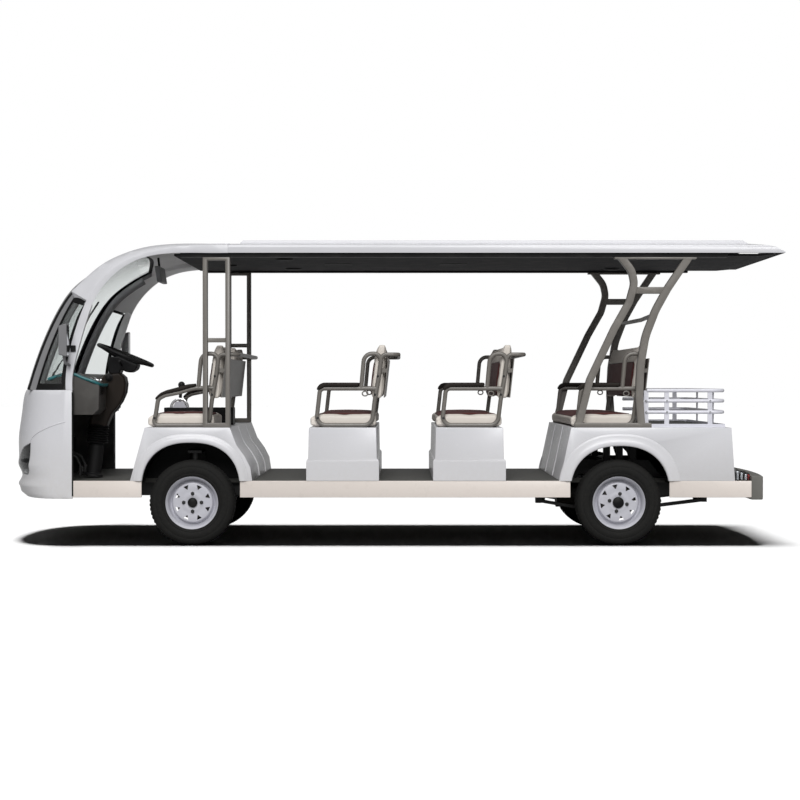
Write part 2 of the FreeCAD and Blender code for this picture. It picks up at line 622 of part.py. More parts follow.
def arm_path(x):
    """Middle line of an arm tube; the driver row's arms slope down to the front."""
    if x == FRONT_SEAT_X:
        return [(-153.4, SEAT_BASE_Z + 118), (-143, SEAT_BASE_Z + 186), (-98, SEAT_BASE_Z + 208),
                (-4, SEAT_BASE_Z + 227), (65, SEAT_BASE_Z + 248), (103, ARM_Z + 3), (216, ARM_Z + 3)]
    return [(-156, ARM_Z - 60), (-149.3, ARM_Z), (216, ARM_Z)]


def arm_frame(x):
    """Kerb side of a seat frame: one bent tube for foot, legs and loop, and an arm tube."""
    low = SEAT_BASE_Z + SEAT_TUBE_R
    arm = arm_path(x)
    start, corner = arm[:2]
    share = 30 / (corner[1] - start[1])
    leg = (start[0] - (corner[0] - start[0]) * share, start[1] - 30)
    loop = [(118, ARM_Z + 4), (138, LOOP_Z), (252, LOOP_Z), (234, ARM_Z + 90), (206, ARM_Z - 74),
            (186, low),
            (-176, low), leg, start]
    pieces = [bent_rod([(x + dx, ARM_Y, z) for dx, z in loop], SEAT_TUBE_R, 58),
              bent_rod([(x + dx, ARM_Y, z) for dx, z in arm], SEAT_TUBE_R, 40)]
    for dx, z in ((207, ARM_Z - 40), (226, ARM_Z + 80)):
        pieces.append(rod((x + dx, BENCH_HALF_W + CLEAR, z), (x + dx, ARM_Y, z), 8))
    pieces.append(box(x + 228, x + 286, BENCH_HALF_W + 2, BENCH_HALF_W + 8, ARM_Z + 104, ARM_Z + 130))
    return pieces


def seat_frames():
    """Tube frames of the four rows, each with a panel behind the backrest, three with a grab rail."""
    frames = []
    rail_z = LOOP_Z - 5
    for x in (FRONT_SEAT_X, BENCH_X[0], BENCH_X[1], REAR_SEAT_X):
        side = fuse(arm_frame(x))
        panel = plate(shift([(263, SEAT_BASE_Z + 193), (269, SEAT_BASE_Z + 193), (297, SEAT_BASE_Z + 448),
                             (291, SEAT_BASE_Z + 448)], x), -BENCH_HALF_W - 8, BENCH_HALF_W + 8)
        pieces = [side, mirrored(side), panel]
        if x != REAR_SEAT_X:
            rail_x = x + (376 if x == FRONT_SEAT_X else 360)
            pieces.append(bent_rod([(x + 240, -ARM_Y, rail_z - 35), (x + 262, -ARM_Y, rail_z),
                                    (rail_x, -ARM_Y, rail_z), (rail_x, ARM_Y, rail_z),
                                    (x + 262, ARM_Y, rail_z),
                                    (x + 240, ARM_Y, rail_z - 35)], SEAT_TUBE_R - 1, 50))
        frames.append(fuse(pieces))
    add("seat_frames", frames)


def armrest_pads():
    """Soft pads on the arm tubes, drooping over the tubes' front bends."""
    pads = []
    for x in (FRONT_SEAT_X, BENCH_X[0], BENCH_X[1], REAR_SEAT_X):
        if x == FRONT_SEAT_X:
            outline = [(-166, SEAT_BASE_Z + 172), (-156, SEAT_BASE_Z + 196), (-128, SEAT_BASE_Z + 222),
                       (-91, SEAT_BASE_Z + 239), (-19, SEAT_BASE_Z + 258), (49, SEAT_BASE_Z + 278),
                       (101, SEAT_BASE_Z + 283), (101, ARM_Z + 14), (65, ARM_Z + 5), (-4, ARM_Z - 16),
                       (-98, ARM_Z - 36), (-140, ARM_Z - 56)]
        else:
            outline = [(-170, ARM_Z - 12), (-168, ARM_Z + 6), (-150, ARM_Z + 28), (-127, ARM_Z + 37),
                       (101, ARM_Z + 37), (101, ARM_Z + 12), (-120, ARM_Z + 12), (-140, ARM_Z - 2)]
        pad = plate(shift(outline, x), ARM_Y - 22, ARM_Y + 22)
        tube_room = bent_rod([(x + dx, ARM_Y, z) for dx, z in arm_path(x)], SEAT_TUBE_R + CLEAR, 40)
        pads.extend(both(max(pad.cut(tube_room).Solids, key=lambda solid: solid.Volume)))
    add("armrest_pads", pads)


# ---------------------------------------------------------------- driver's place
DRIVER_Y = -(FRONT_SEAT_Y[0] + FRONT_SEAT_Y[1]) / 2
STEER_HUB = (FRONT_X - 484, 1235.0)
STEER_TILT = math.radians(21.5)
STEER_R = 200.0
STEER_AXIS = V(math.sin(STEER_TILT), 0, math.cos(STEER_TILT))
HUB_DEPTH = 62.0                            # underside of the hub below the rim


def steering_wheel():
    centre = V(STEER_HUB[0], DRIVER_Y, STEER_HUB[1])
    rim = Part.makeTorus(STEER_R - 12, 12, centre, STEER_AXIS)
    hub = Part.makeCylinder(60, HUB_DEPTH - 10, centre - STEER_AXIS * HUB_DEPTH, STEER_AXIS)
    side = V(0, 1, 0)
    up = STEER_AXIS.cross(side)
    spokes = []
    for angle in (0, 120, 240):
        turn = math.radians(angle)
        tip = centre + (side * math.cos(turn) + up * math.sin(turn)) * (STEER_R - 14)
        root = centre - STEER_AXIS * 40
        spokes.append(rod(tuple(root), tuple(tip), 11))
    add("steering_wheel", fuse([rim, hub] + spokes))


def column_parts(grow=0.0):
    """Shaft cover, tapered shroud, neck, bellows and lower column, each made larger by grow."""
    hub = V(STEER_HUB[0], DRIVER_Y, STEER_HUB[1])
    head = tuple(hub - STEER_AXIS * (HUB_DEPTH + MOVE_GAP))
    shroud_top = hub - STEER_AXIS * 128
    shroud_low = V(FRONT_X - 598, DRIVER_Y, 870)
    bellows_top, bellows_low = (FRONT_X - 656, DRIVER_Y, 765), (FRONT_X - 684, DRIVER_Y, 650)
    foot = (FRONT_X - 706, DRIVER_Y, FLOOR_Z - 10)
    run = shroud_low - shroud_top
    shroud = Part.makeCone(74 + grow, 52 + grow, run.Length, shroud_top, run)
    return [rod(head, tuple(shroud_top - STEER_AXIS * 20), 40 + grow), shroud,
            Part.makeSphere(52 + grow, shroud_low), rod(tuple(shroud_low), bellows_top, 44 + grow),
            rod(bellows_top, bellows_low, 71 + grow), rod(bellows_low, foot, 47 + grow)]


def steering_column():
    column = fuse(column_parts())
    add("steering_column", column.cut(box(FRONT_X - 900, FRONT_X - 500, -800, 0, FLOOR_Z - 200, FLOOR_Z)))


def dash_solid(wall):
    """Moulded pod: deep in front of the driver, shallower on the kerb side."""
    outline = shift([(-1110 + wall, 930), (-1080 + wall, 1040 - wall), (-782, 1112 - wall),
                     (-612 - wall / 2, 1050 - wall), (-600 - wall, 1030), (-604 - wall, 880 + wall / 2),
                     (-640 - wall / 2, 845 + wall), (-1110 + wall, 845 + wall)], FRONT_X)
    half_w = BODY_HALF_W - 30 - CLEAR - wall
    front = [(FRONT_X - 1100 + wall + bow(half_w * i / 8), half_w * i / 8) for i in range(-8, 9)]
    rear = [(FRONT_X - 730 - wall, half_w), (FRONT_X - 730 - wall, 130 - wall),
            (FRONT_X - 590 - wall, 90 - wall),
            (FRONT_X - 590 - wall, -half_w)]
    return plate(outline, -half_w, half_w).common(plan(front + rear, 700, 1200))


def dashboard():
    pod = dash_solid(0).cut(dash_solid(12))
    for hole in column_parts(8):
        pod = pod.cut(hole)
    add("dashboard", max(pod.Solids, key=lambda solid: solid.Volume))


def pedals():
    shapes = []
    pivot_x, pivot_z = FRONT_X - 880, FLOOR_Z + 181
    for y in (DRIVER_Y - 60, DRIVER_Y + 90):
        arm = bent_rod([(pivot_x, y, pivot_z), (pivot_x + 80, y, FLOOR_Z + 141),
                        (pivot_x + 120, y, FLOOR_Z + 51)],
                       8, 40)
        pad = box(FRONT_X - 775, FRONT_X - 763, y - 35, y + 35, FLOOR_Z + 21, FLOOR_Z + 81)
        shapes.append(arm.fuse(pad))
    bridge = rod((pivot_x, DRIVER_Y - 70, pivot_z), (pivot_x, DRIVER_Y + 100, pivot_z), 12)
    stay = box(pivot_x - 20, pivot_x + 20, DRIVER_Y + 5, DRIVER_Y + 25, FLOOR_Z, pivot_z)
    add("pedals", fuse(shapes + [bridge, stay]))


def handbrake_console():
    """Tray between the front seats with the handbrake's quadrant, lever and knob."""
    x, top = FRONT_SEAT_X, SEAT_BASE_Z + 110
    block = box(x - 194, x + 280, -75, 75, SEAT_BASE_Z, top)
    lip = box(x - 194, x - 180, -75, 75, top, top + 16)
    sector = disc(x - 97, -8, 8, top + 12, 66)
    lever = bent_rod([(x - 97, 14, top + 16), (x - 92, 14, top + 90), (x - 85, 14, top + 150)], 9, 60)
    knob = Part.makeSphere(24, V(x - 85, 14, top + 165))
    add("handbrake_console", fuse([block, lip, sector, lever, knob]))


KERB_MIRROR_BACK = 110.0                    # the kerb side mirror hangs further back


def mirror(back):
    """Housing on a bent arm that springs from the door post."""
    x, y = FRONT_X - 785, BODY_HALF_W
    housing = box(x - 49 + back, x + 9 + back, y + 25, y + 120, 1215, 1430)
    housing = housing.makeFillet(18, housing.Edges)
    arm = bent_rod([(x, y, 1165), (x, y + 50, 1165), (x - 15 + back, y + 72, 1190),
                    (x - 20 + back, y + 72, 1240)], 9, 15)
    return housing.fuse(arm)


def mirrors():
    add("mirrors", [mirrored(mirror(0)), mirror(KERB_MIRROR_BACK)])


def screen_point(y, z, off):
    """Point at height z that stands off the windscreen's outer face."""
    for (x0, z0), (x1, z1) in zip(SCREEN_PROFILE, SCREEN_PROFILE[1:]):
        if z0 <= z <= z1:
            return (FRONT_X + x0 + (x1 - x0) * (z - z0) / (z1 - z0) + bow(y) - off, y, z)
    return (FRONT_X + SCREEN_PROFILE[0][0] + bow(y) - off, y, z)


def wipers():
    """Arms that rise from the screen's foot, each with a blade parked upright."""
    arms = []
    foot_z, joint_z = SCREEN_PROFILE[0][1] + 11, 1440
    for foot_y, blade_y in ((40, 100), (270, 520)):
        steps = [i / 4 for i in range(5)]
        spine = [screen_point(foot_y + (blade_y - foot_y) * t, foot_z + (joint_z - foot_z) * t,
                              22) for t in steps]
        blade = [screen_point(blade_y, 1240 + 400 * t, 22) for t in steps]
        boss = rod(screen_point(foot_y, foot_z, 24), screen_point(foot_y, foot_z, 5), 6)
        arms.append(fuse([bent_rod(spine, 6, 200), bent_rod(blade, 7, 200), boss]))
    add("wipers", arms)


# ---------------------------------------------------------------- tail
def luggage_deck():
    add("luggage_deck", box(REAR_X + 175, REAR_X + 645, -625, 625, SEAT_BASE_Z, SEAT_BASE_Z + 12))


def luggage_rack():
    """White gallery round the luggage deck: round rails on flat posts and a flat foot bar."""
    x1, y1 = REAR_X + 694, 655.0
    start = {-1: REAR_X + 190, 1: REAR_X + 219}
    top = SEAT_BASE_Z + 239
    pieces = []
    for z in (SEAT_BASE_Z + 99, SEAT_BASE_Z + 172, top):
        pieces.append(bent_rod([(start[-1], -y1, z), (x1, -y1, z), (x1, y1, z), (start[1], y1, z)], 12,
                               70))
    bar_top = SEAT_BASE_Z + 22
    for side in (-1, 1):
        y_out, y_in = side * (y1 + 4), side * (y1 - 4)
        pieces.append(box(start[side], x1 + 4, min(y_out, y_in), max(y_out, y_in), SEAT_BASE_Z, bar_top))
        for x in [REAR_X + 319, REAR_X + 600] + ([REAR_X + 185] if side < 0 else []):
            pieces.append(box(x - 15, x + 15, min(y_out, y_in), max(y_out, y_in), SEAT_BASE_Z, top))
    pieces.append(box(x1 - 4, x1 + 4, -y1, y1, SEAT_BASE_Z, bar_top))
    for y in (-280, 280):
        pieces.append(box(x1 - 4, x1 + 4, y - 15, y + 15, SEAT_BASE_Z, top))
    add("luggage_rack", fuse(pieces))


def rear_bumper():
    edge = [(REAR_X + 926 + 60 * (1 - (y / BODY_HALF_W) ** 2), y) for y in range(-735, 736, 105)]
    beam = plan(edge + [(REAR_X + 852, 735), (REAR_X + 852, -735)], FLOOR_Z - 122, FLOOR_Z + 31)
    recess = plan([(x - 50, y) for x, y in edge[3:-3]] + [(REAR_X + 850, 420), (REAR_X + 850, -420)],
                  FLOOR_Z - 10, FLOOR_Z + 40)
    add("rear_bumper", beam.cut(recess))


# ---------------------------------------------------------------- running gear
HUB_FACE_Y = WHEEL_Y + 20.0                 # where the rim's disc bolts on
DISC_T = 8.0
BOLT_PCD = 114.3
BOLT_R = 6.5
STUB_R = 22.0
WINDOW_BASE_R = 118.0                       # outer side of the disc's windows
WINDOW_TIP_R = 88.0
REST_TURN = -11.5                           # how far the rear wheels have rolled at rest, in degrees


def tyre(x, side):
    """Tyre with rounded shoulders, hollow down to the rim."""
    half = TYRE_W / 2
    bead = RIM_R - 6
    outline = [(bead, -half + 14), (bead, half - 14), (bead + 12, half - 4), (TYRE_R - 46, half),
               (TYRE_R - 12, half - 14), (TYRE_R, half - 34), (TYRE_R, -half + 34),
               (TYRE_R - 12, -half + 14),
               (TYRE_R - 46, -half), (bead + 12, -half + 4)]
    wire = Part.makePolygon([V(x, side * WHEEL_Y + w, AXLE_Z + r) for r, w in outline + outline[:1]])
    return Part.Face(wire).revolve(V(x, 0, AXLE_Z), V(0, 1, 0), 360)


def rim(x, side):
    """Steel wheel: stepped barrel, disc with eight triangular windows, bolt holes and hub bore."""
    half = TYRE_W / 2 - 12
    centre_y = side * WHEEL_Y
    bead = RIM_R - 6 - CLEAR
    profile = [(bead - 8, -half), (bead, -half), (bead, half), (bead - 8, half), (bead - 22, 20),
               (bead - 22, -20)]
    wire = Part.makePolygon([V(x, centre_y + w, AXLE_Z + r) for r, w in profile + profile[:1]])
    barrel = Part.Face(wire).revolve(V(x, 0, AXLE_Z), V(0, 1, 0), 360)
    y0 = centre_y + side * 20
    y1 = y0 + side * DISC_T
    bore = disc(x, centre_y, y1 + side * 5, AXLE_Z, STUB_R + CLEAR)
    face = disc(x, y0, y1, AXLE_Z, bead - 12).cut(bore)
    turn = math.radians(REST_TURN if x == REAR_X else 0)
    for i in range(8):
        angle = math.radians(22.5 + 45 * i) + turn
        window = [V(x + r * math.cos(angle + a), y0 - side, AXLE_Z + r * math.sin(angle + a))
                  for r, a in ((WINDOW_BASE_R, -0.143), (WINDOW_BASE_R, 0.143), (WINDOW_TIP_R, 0.0))]
        prism = Part.Face(Part.makePolygon(window + window[:1])).extrude(V(0, side * (DISC_T + 2), 0))
        face = face.cut(prism)
    for i in range(4):
        angle = math.radians(90 * i) + turn
        bolt_x, bolt_z = BOLT_PCD / 2 * math.cos(angle), BOLT_PCD / 2 * math.sin(angle)
        face = face.cut(disc(x + bolt_x, y0 - side, y1 + side, AXLE_Z + bolt_z, BOLT_R))
    return barrel.fuse(face).removeSplitter()


def wheels():
    places = (("front_left", FRONT_X, -1), ("front_right", FRONT_X, 1), ("rear_left", REAR_X, -1),
              ("rear_right", REAR_X, 1))
    for name, x, side in places:
        add("tyre_" + name, tyre(x, side))
        add("rim_" + name, rim(x, side))


STUB_END_Y = HUB_FACE_Y + DISC_T - 1        # the stub fills the rim's bore
DRUM_R = 105.0
STEER_ARM = 120.0                           # kingpin to tie rod
RACK_X = FRONT_X + STEER_ARM - 7            # half way between its places when straight and at lock
STEER_ARM_Z = AXLE_Z - 55.0                 # underside of the steering arms
RACK_R = 11.0
RACK_Z = STEER_ARM_Z - MOVE_GAP - RACK_R


def knuckle(side):
    """Steering knuckle with stub axle, brake drum and steering arm."""
    k = side * KINGPIN_Y
    stub = disc(FRONT_X, k, side * STUB_END_Y, AXLE_Z, STUB_R)
    drum = disc(FRONT_X, side * (WHEEL_Y - 40), side * (HUB_FACE_Y - MOVE_GAP), AXLE_Z, DRUM_R)
    upright = box(FRONT_X - 24, FRONT_X + 24, k - 20, k + 20, AXLE_Z - 62, AXLE_Z + 70)
    arm = plate([(FRONT_X, STEER_ARM_Z), (FRONT_X + STEER_ARM + 14, STEER_ARM_Z),
                 (FRONT_X + STEER_ARM + 14, STEER_ARM_Z + 15), (FRONT_X, STEER_ARM_Z + 25)], k - 12,
                 k + 12)
    return fuse([stub, drum, upright, arm])


def knuckles():
    add("knuckle_left", knuckle(-1))
    add("knuckle_right", knuckle(1))


def tie_rods():
    """Rack bar with a tie rod each side; each end lies free below its steering arm."""
    reach = KINGPIN_Y + 8
    add("tie_rods", rod((RACK_X, -reach, RACK_Z), (RACK_X, reach, RACK_Z), RACK_R))


def front_suspension():
    """Cross member with lower arms, and the sprung struts above the knuckles."""
    top = FLOOR_Z - FLOOR_T - RAIL_H
    shapes = [box(FRONT_X - 50, FRONT_X + 40, -RAIL_Y - RAIL_W, RAIL_Y + RAIL_W, AXLE_Z - 36, top)]
    struts = []
    for side in (-1, 1):
        inner, outer = side * 280, side * (KINGPIN_Y + 4)
        arm = plan([(FRONT_X - 70, inner), (FRONT_X + 60, inner), (FRONT_X + 22, outer),
                    (FRONT_X - 22, outer)],
                   AXLE_Z - 84, AXLE_Z - 66)
        y0, y1 = sorted((inner, inner + side * 26))
        hanger = box(FRONT_X - 48, FRONT_X + 38, y0, y1, AXLE_Z - 80, AXLE_Z - 30)
        kingpin = side * KINGPIN_Y
        ball = rod((FRONT_X, kingpin, AXLE_Z - 70), (FRONT_X, kingpin, AXLE_Z - 62 - CLEAR), 15)
        shapes.extend([arm, hanger, ball])
        foot = rod((FRONT_X, kingpin, AXLE_Z + 70 + CLEAR), (FRONT_X, kingpin, AXLE_Z + 130), 18)
        body = rod((FRONT_X, kingpin, AXLE_Z + 100), (FRONT_X, kingpin, STRUT_TOP_Z), 25)
        struts.append(foot.fuse(body).removeSplitter())
    add("front_suspension", [fuse(shapes)] + struts)


def rack_housing():
    """Tube round the rack, bolted to the back of the cross member."""
    body = rod((RACK_X, -170, RACK_Z), (RACK_X, 170, RACK_Z), 24)
    feet = [box(FRONT_X + 40, RACK_X + 10, y - 18, y + 18, AXLE_Z - 36, AXLE_Z) for y in (-140, 140)]
    neck = [box(RACK_X - 12, RACK_X + 12, y - 18, y + 18, RACK_Z, AXLE_Z - 20) for y in (-140, 140)]
    bore = rod((RACK_X, -300, RACK_Z), (RACK_X, 300, RACK_Z), RACK_R + CLEAR)
    add("steering_rack_housing", fuse([body] + feet + neck).cut(bore))


AXLE_TUBE_R = 38.0


def rear_axle():
    """Live axle with brake drums, final drive and motor."""
    beam = disc(REAR_X, -WHEEL_Y + 30, WHEEL_Y - 30, AXLE_Z, AXLE_TUBE_R)
    ends = both(disc(REAR_X, WHEEL_Y - 31, STUB_END_Y, AXLE_Z, STUB_R))
    drums = both(disc(REAR_X, WHEEL_Y - 40, HUB_FACE_Y - MOVE_GAP, AXLE_Z, DRUM_R))
    case = Part.makeSphere(108, V(REAR_X, 60, AXLE_Z))
    motor = rod((REAR_X - 330, 60, AXLE_Z + 6), (REAR_X - 60, 60, AXLE_Z + 6), 92)
    add("rear_axle", fuse([beam, case, motor] + ends + drums))


def leaf_springs():
    """Leaf spring under the axle each side, with its fixed hanger in front and shackle behind."""
    y0, y1 = RAIL_Y + 4, RAIL_Y + RAIL_W - 4
    half = 10.0
    low = AXLE_Z - 65
    outline = [(-482, low + 51), (-250, low + 11), (-60, low), (60, low), (250, low + 11),
               (620, low + 57)]
    leaf = bent_bar(shift(outline, REAR_X), 2 * half, y0, y1, 300)
    rail_low = FLOOR_Z - FLOOR_T - RAIL_H
    front = box(REAR_X - 505, REAR_X - 465, y0, y1, low + 36, rail_low)
    rear = box(REAR_X + 600, REAR_X + 640, y0, y1, low + 44, rail_low)
    pad = box(REAR_X - 50, REAR_X + 50, y0, y1, low - half - 10, AXLE_Z - AXLE_TUBE_R - CLEAR)
    add("leaf_springs", both(fuse([leaf, front, rear, pad])))


def battery_blocks():
    """Batteries inside the two middle seat bases."""
    half_x = BENCH_LEN / 2 - 50
    blocks = [box(x - half_x, x + half_x, -560, 560, FLOOR_Z, SEAT_BASE_Z - 93) for x in BENCH_X]
    add("battery_blocks", blocks)


# ---------------------------------------------------------------- build all
def build():
    front_cowl()
    windscreen()
    windscreen_pillars()
    front_roof_shell()
    roof_shell()
    ceiling()
    roof_rails()
    floor()
    side_skirts()
    chassis_frame()
    front_seat_base()
    bench_bases()
    rear_body()
    wheel_liners()
    partition_frames()
    canopy_frames()
    seats()
    seat_frames()
    armrest_pads()
    steering_wheel()
    steering_column()
    dashboard()
    pedals()
    handbrake_console()
    mirrors()
    wipers()
    luggage_deck()
    luggage_rack()
    rear_bumper()
    wheels()
    knuckles()
    tie_rods()
    front_suspension()
    rack_housing()
    rear_axle()
    leaf_springs()
    battery_blocks()
    os.makedirs("parts", exist_ok=True)
    for name, solids in PARTS.items():
        shape = solids[0] if len(solids) == 1 else Part.makeCompound(solids)
        shape.exportStep("parts/" + name + ".step")
        print(name, len(solids), "solid(s)", "valid" if shape.isValid() else "NOT VALID",
              round(shape.Volume / 1e6, 2), "litres")


build()
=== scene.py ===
"""Looks of an open electric sightseeing bus: gel-coated body, padded seats, wheels, cab and stage."""
from math import atan2, copysign, cos, hypot, pi, radians, sin

import bmesh
import bpy
from bpy.props import FloatProperty, PointerProperty, StringProperty
from mathutils import Matrix, Vector


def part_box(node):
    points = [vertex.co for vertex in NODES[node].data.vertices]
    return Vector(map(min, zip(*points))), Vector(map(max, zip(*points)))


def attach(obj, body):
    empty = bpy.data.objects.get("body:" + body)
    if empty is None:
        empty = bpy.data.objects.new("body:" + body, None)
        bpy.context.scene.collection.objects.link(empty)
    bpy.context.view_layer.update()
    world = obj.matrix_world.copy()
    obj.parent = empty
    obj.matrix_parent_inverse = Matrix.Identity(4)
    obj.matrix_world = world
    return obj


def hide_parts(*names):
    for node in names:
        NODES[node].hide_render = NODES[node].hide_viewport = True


bl_info = {
    "name": "Sightseeing bus",
    "version": (1, 0, 0),
    "blender": (4, 5, 0),
    "location": "View3D > Sidebar > Bus",
    "description": "Adds the visible pieces and finishes of an open sightseeing bus to its frame",
    "category": "Add Mesh",
}

ops = bmesh.ops
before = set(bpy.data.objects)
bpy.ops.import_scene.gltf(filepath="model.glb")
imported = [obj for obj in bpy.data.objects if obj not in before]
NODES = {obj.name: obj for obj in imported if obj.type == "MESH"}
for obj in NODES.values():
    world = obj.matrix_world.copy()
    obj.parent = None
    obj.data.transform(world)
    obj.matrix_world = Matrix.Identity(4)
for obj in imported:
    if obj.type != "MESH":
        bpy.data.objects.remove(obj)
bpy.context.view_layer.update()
SIDES = ((-1, "left"), (1, "right"))
WHEELS = ("front_left", "front_right", "rear_left", "rear_right")
BENCH_ROWS = ("second_row", "third_row", "rear_row")
AXIS_X, AXIS_Y, AXIS_Z = (1, 0, 0), (0, 1, 0), (0, 0, 1)
MID = 0.1       # radius in mm at which a turned outline stops short of its axis; the hole there is filled


def middle(node):
    """Centre of a CAD node's box."""
    low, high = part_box(node)
    return (Vector(low) + Vector(high)) / 2


FX = middle("tyre_front_left").x                # front axle
RX = middle("tyre_rear_left").x                 # rear axle
BODY_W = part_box("side_skirts")[1][1]            # outer face of the body's sides
FLOOR_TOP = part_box("floor")[1][2]
SEAT_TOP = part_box("front_seat_base")[1][2]      # top of the boxes that carry the cushions
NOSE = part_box("front_cowl")[0][0]
COWL_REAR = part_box("front_cowl")[1][0]
DRIVER_Y = middle("steering_wheel").y


# ---- finishes
def linear(code):
    """sRGB hex code as a linear RGBA colour."""
    parts = [int(code[i:i + 2], 16) / 255 for i in (1, 3, 5)]
    return [c / 12.92 if c <= 0.04045 else ((c + 0.055) / 1.055) ** 2.4 for c in parts] + [1.0]


class Nodes:
    """A node tree, with the kinds of node that are used again and again."""

    def __init__(self, tree):
        self.tree = tree

    def add(self, kind, inputs=None, **settings):
        """One shader node with its settings; an input is a value or another node's output."""
        node = self.tree.nodes.new("ShaderNode" + kind)
        for key, value in settings.items():
            setattr(node, key, value)
        for key, value in (inputs or {}).items():
            if isinstance(value, bpy.types.NodeSocket):
                self.tree.links.new(value, node.inputs[key])
            else:
                node.inputs[key].default_value = value
        return node

    def math(self, operation, *values):
        return self.add("Math", dict(enumerate(values)), operation=operation).outputs[0]

    def ramp(self, value, start, end, low, high):
        """Value from start to end, turned into one from low to high."""
        return self.add("MapRange", {"Value": value, "From Min": start, "From Max": end, "To Min": low,
                                     "To Max": high}).outputs[0]

    def mix(self, factor, a, b):
        a, b = (linear(colour) if isinstance(colour, str) else colour for colour in (a, b))
        return self.add("Mix", {"Factor": factor, "A": a, "B": b}, data_type="RGBA").outputs["Result"]


class Surface(Nodes):
    """Material with one Principled shader; uniform values go straight on its sockets."""

    def __init__(self, name, **sockets):
        self.material = bpy.data.materials.new(name)
        self.material.use_nodes = True
        super().__init__(self.material.node_tree)
        self.tree.nodes.clear()
        self.shader = self.add("BsdfPrincipled", {key.replace("_", " "): sockets[key] for key in sockets})
        self.add("OutputMaterial", {"Surface": self.shader.outputs[0]})
        self.where = self.add("TexCoord").outputs["Object"]

    def noise(self, scale, detail, **more):
        inputs = {"Vector": self.where, "Scale": scale, "Detail": detail, **more}
        return self.add("TexNoise", inputs).outputs["Fac"]

    def bump(self, height, strength, distance, **more):
        inputs = {"Height": height, "Strength": strength, "Distance": distance, **more}
        return self.add("Bump", inputs).outputs[0]

    def done(self, **links):
        """Link the last outputs to the shader and hand over the material."""
        for key, output in links.items():
            self.tree.links.new(output, self.shader.inputs[key.replace("_", " ")])
        return self.material


def gel_coat(name, code):
    """Glass fibre sprayed with gel coat in a mould: soft gloss, faint waviness, darker brownish specks low
    down.
    """
    s = Surface(name, IOR=1.5, Specular_IOR_Level=0.35, Coat_Weight=0.1, Coat_Roughness=0.1)
    tone = s.ramp(s.noise(3.0, 3.0), 0.3, 0.7, 0.0, 0.25)
    low = s.ramp(s.add("SeparateXYZ", {"Vector": s.where}).outputs["Z"], 0.75, 0.3, 0.0, 0.55)
    speck = s.noise(35.0, 6.0, Roughness=0.7)
    return s.done(Base_Color=s.mix(s.math("MULTIPLY", low, speck), s.mix(tone, code, "#c6c6c9"), "#b9b4aa"),
                  Roughness=s.ramp(speck, 0.0, 1.0, 0.16, 0.34),
                  Normal=s.bump(s.noise(55.0, 1.0), 0.25, 0.0004))


def sprayed_steel(name, code, rough=0.4, worn="#8c877e", wear=0.25, speck_mm=1.6):
    """Sheet or tube with a sprayed or baked-on coat: satin, fine orange peel, dull scuffs in patches."""
    s = Surface(name, IOR=1.5)
    scuff = s.noise(14.0, 8.0, Roughness=0.75)
    return s.done(Base_Color=s.mix(s.ramp(scuff, 0.52, 0.72, 0.0, wear), code, worn),
                  Roughness=s.ramp(scuff, 0.0, 1.0, rough - 0.08, rough + 0.12),
                  Normal=s.bump(s.noise(1000 / speck_mm, 2.0), 0.2, 0.0003))


def moulded_plastic(name, code, rough=0.5, grain_mm=1.8, wear_and_sheen_code="#8d8b86", wear_and_sheen_share=0.12):
    """Injection-moulded ABS with a pebbled grain: low sheen, paler where hands and sun have worn it; on the
    shroud a painted sheen.
    """
    s = Surface(name, IOR=1.53, Specular_IOR_Level=0.12)
    cells = s.add("TexVoronoi", {"Vector": s.where, "Scale": 1000 / grain_mm}, feature="SMOOTH_F1")
    cloud = s.noise(7.0, 5.0)
    return s.done(Base_Color=s.mix(s.ramp(cloud, 0.45, 0.75, 0.0, wear_and_sheen_share), code, wear_and_sheen_code),
                  Roughness=s.ramp(cloud, 0.0, 1.0, rough - 0.06, rough + 0.1),
                  Normal=s.bump(cells.outputs["Distance"], 0.3, 0.0005))


def artificial_leather(name, code, inset_code, grain_mm=2.6):
    """Embossed vinyl on foam, sewn from two colours: pebbled grain, satin, a stitched dark seam between."""
    s = Surface(name, IOR=1.5, Specular_IOR_Level=0.08)
    border = s.add("Attribute", attribute_name="inset").outputs["Fac"]
    cloud = s.noise(9.0, 5.0)
    tone = s.ramp(cloud, 0.3, 0.7, 0.0, 0.35)
    both = s.mix(s.ramp(border, -0.0008, 0.0008, 0.0, 1.0), s.mix(tone, code, "#cdc6bc"),
                 s.mix(tone, inset_code, "#5e3d3b"))
    seam = s.ramp(s.math("ABSOLUTE", border), 0.0012, 0.0035, 0.75, 0.0)
    grain = s.add("TexVoronoi", {"Vector": s.where, "Scale": 1000 / grain_mm, "Randomness": 1.0},
                  feature="DISTANCE_TO_EDGE")
    fine = s.bump(grain.outputs["Distance"], 0.25, 0.0006)
    return s.done(Base_Color=s.mix(seam, both, "#241c1a"), Roughness=s.ramp(cloud, 0.0, 1.0, 0.5, 0.65),
                  Normal=s.bump(s.noise(22.0, 4.0, Distortion=0.6), 0.35, 0.004, Normal=fine))


def rubber(name, code, rough=0.7, rib_mm=0.0, dust=0.3):
    """Cured rubber: dull, almost without sheen, greyed by dust; a moulded mat also has straight ribs."""
    s = Surface(name, IOR=1.52, Specular_IOR_Level=0.22)
    speck = s.noise(60.0, 8.0, Roughness=0.8)
    height, depth = speck, 0.0006
    if rib_mm:
        ribs = s.add("TexWave", {"Vector": s.where, "Scale": 1000 / rib_mm / 20, "Distortion": 0.0},
                     bands_direction="Y", wave_profile="SIN")
        height, depth = ribs.outputs["Fac"], 0.002
    return s.done(Base_Color=s.mix(s.ramp(speck, 0.45, 0.8, 0.0, dust), code, "#77726a"),
                  Roughness=s.ramp(speck, 0.0, 1.0, rough - 0.1, rough + 0.15),
                  Normal=s.bump(height, 0.4, depth))


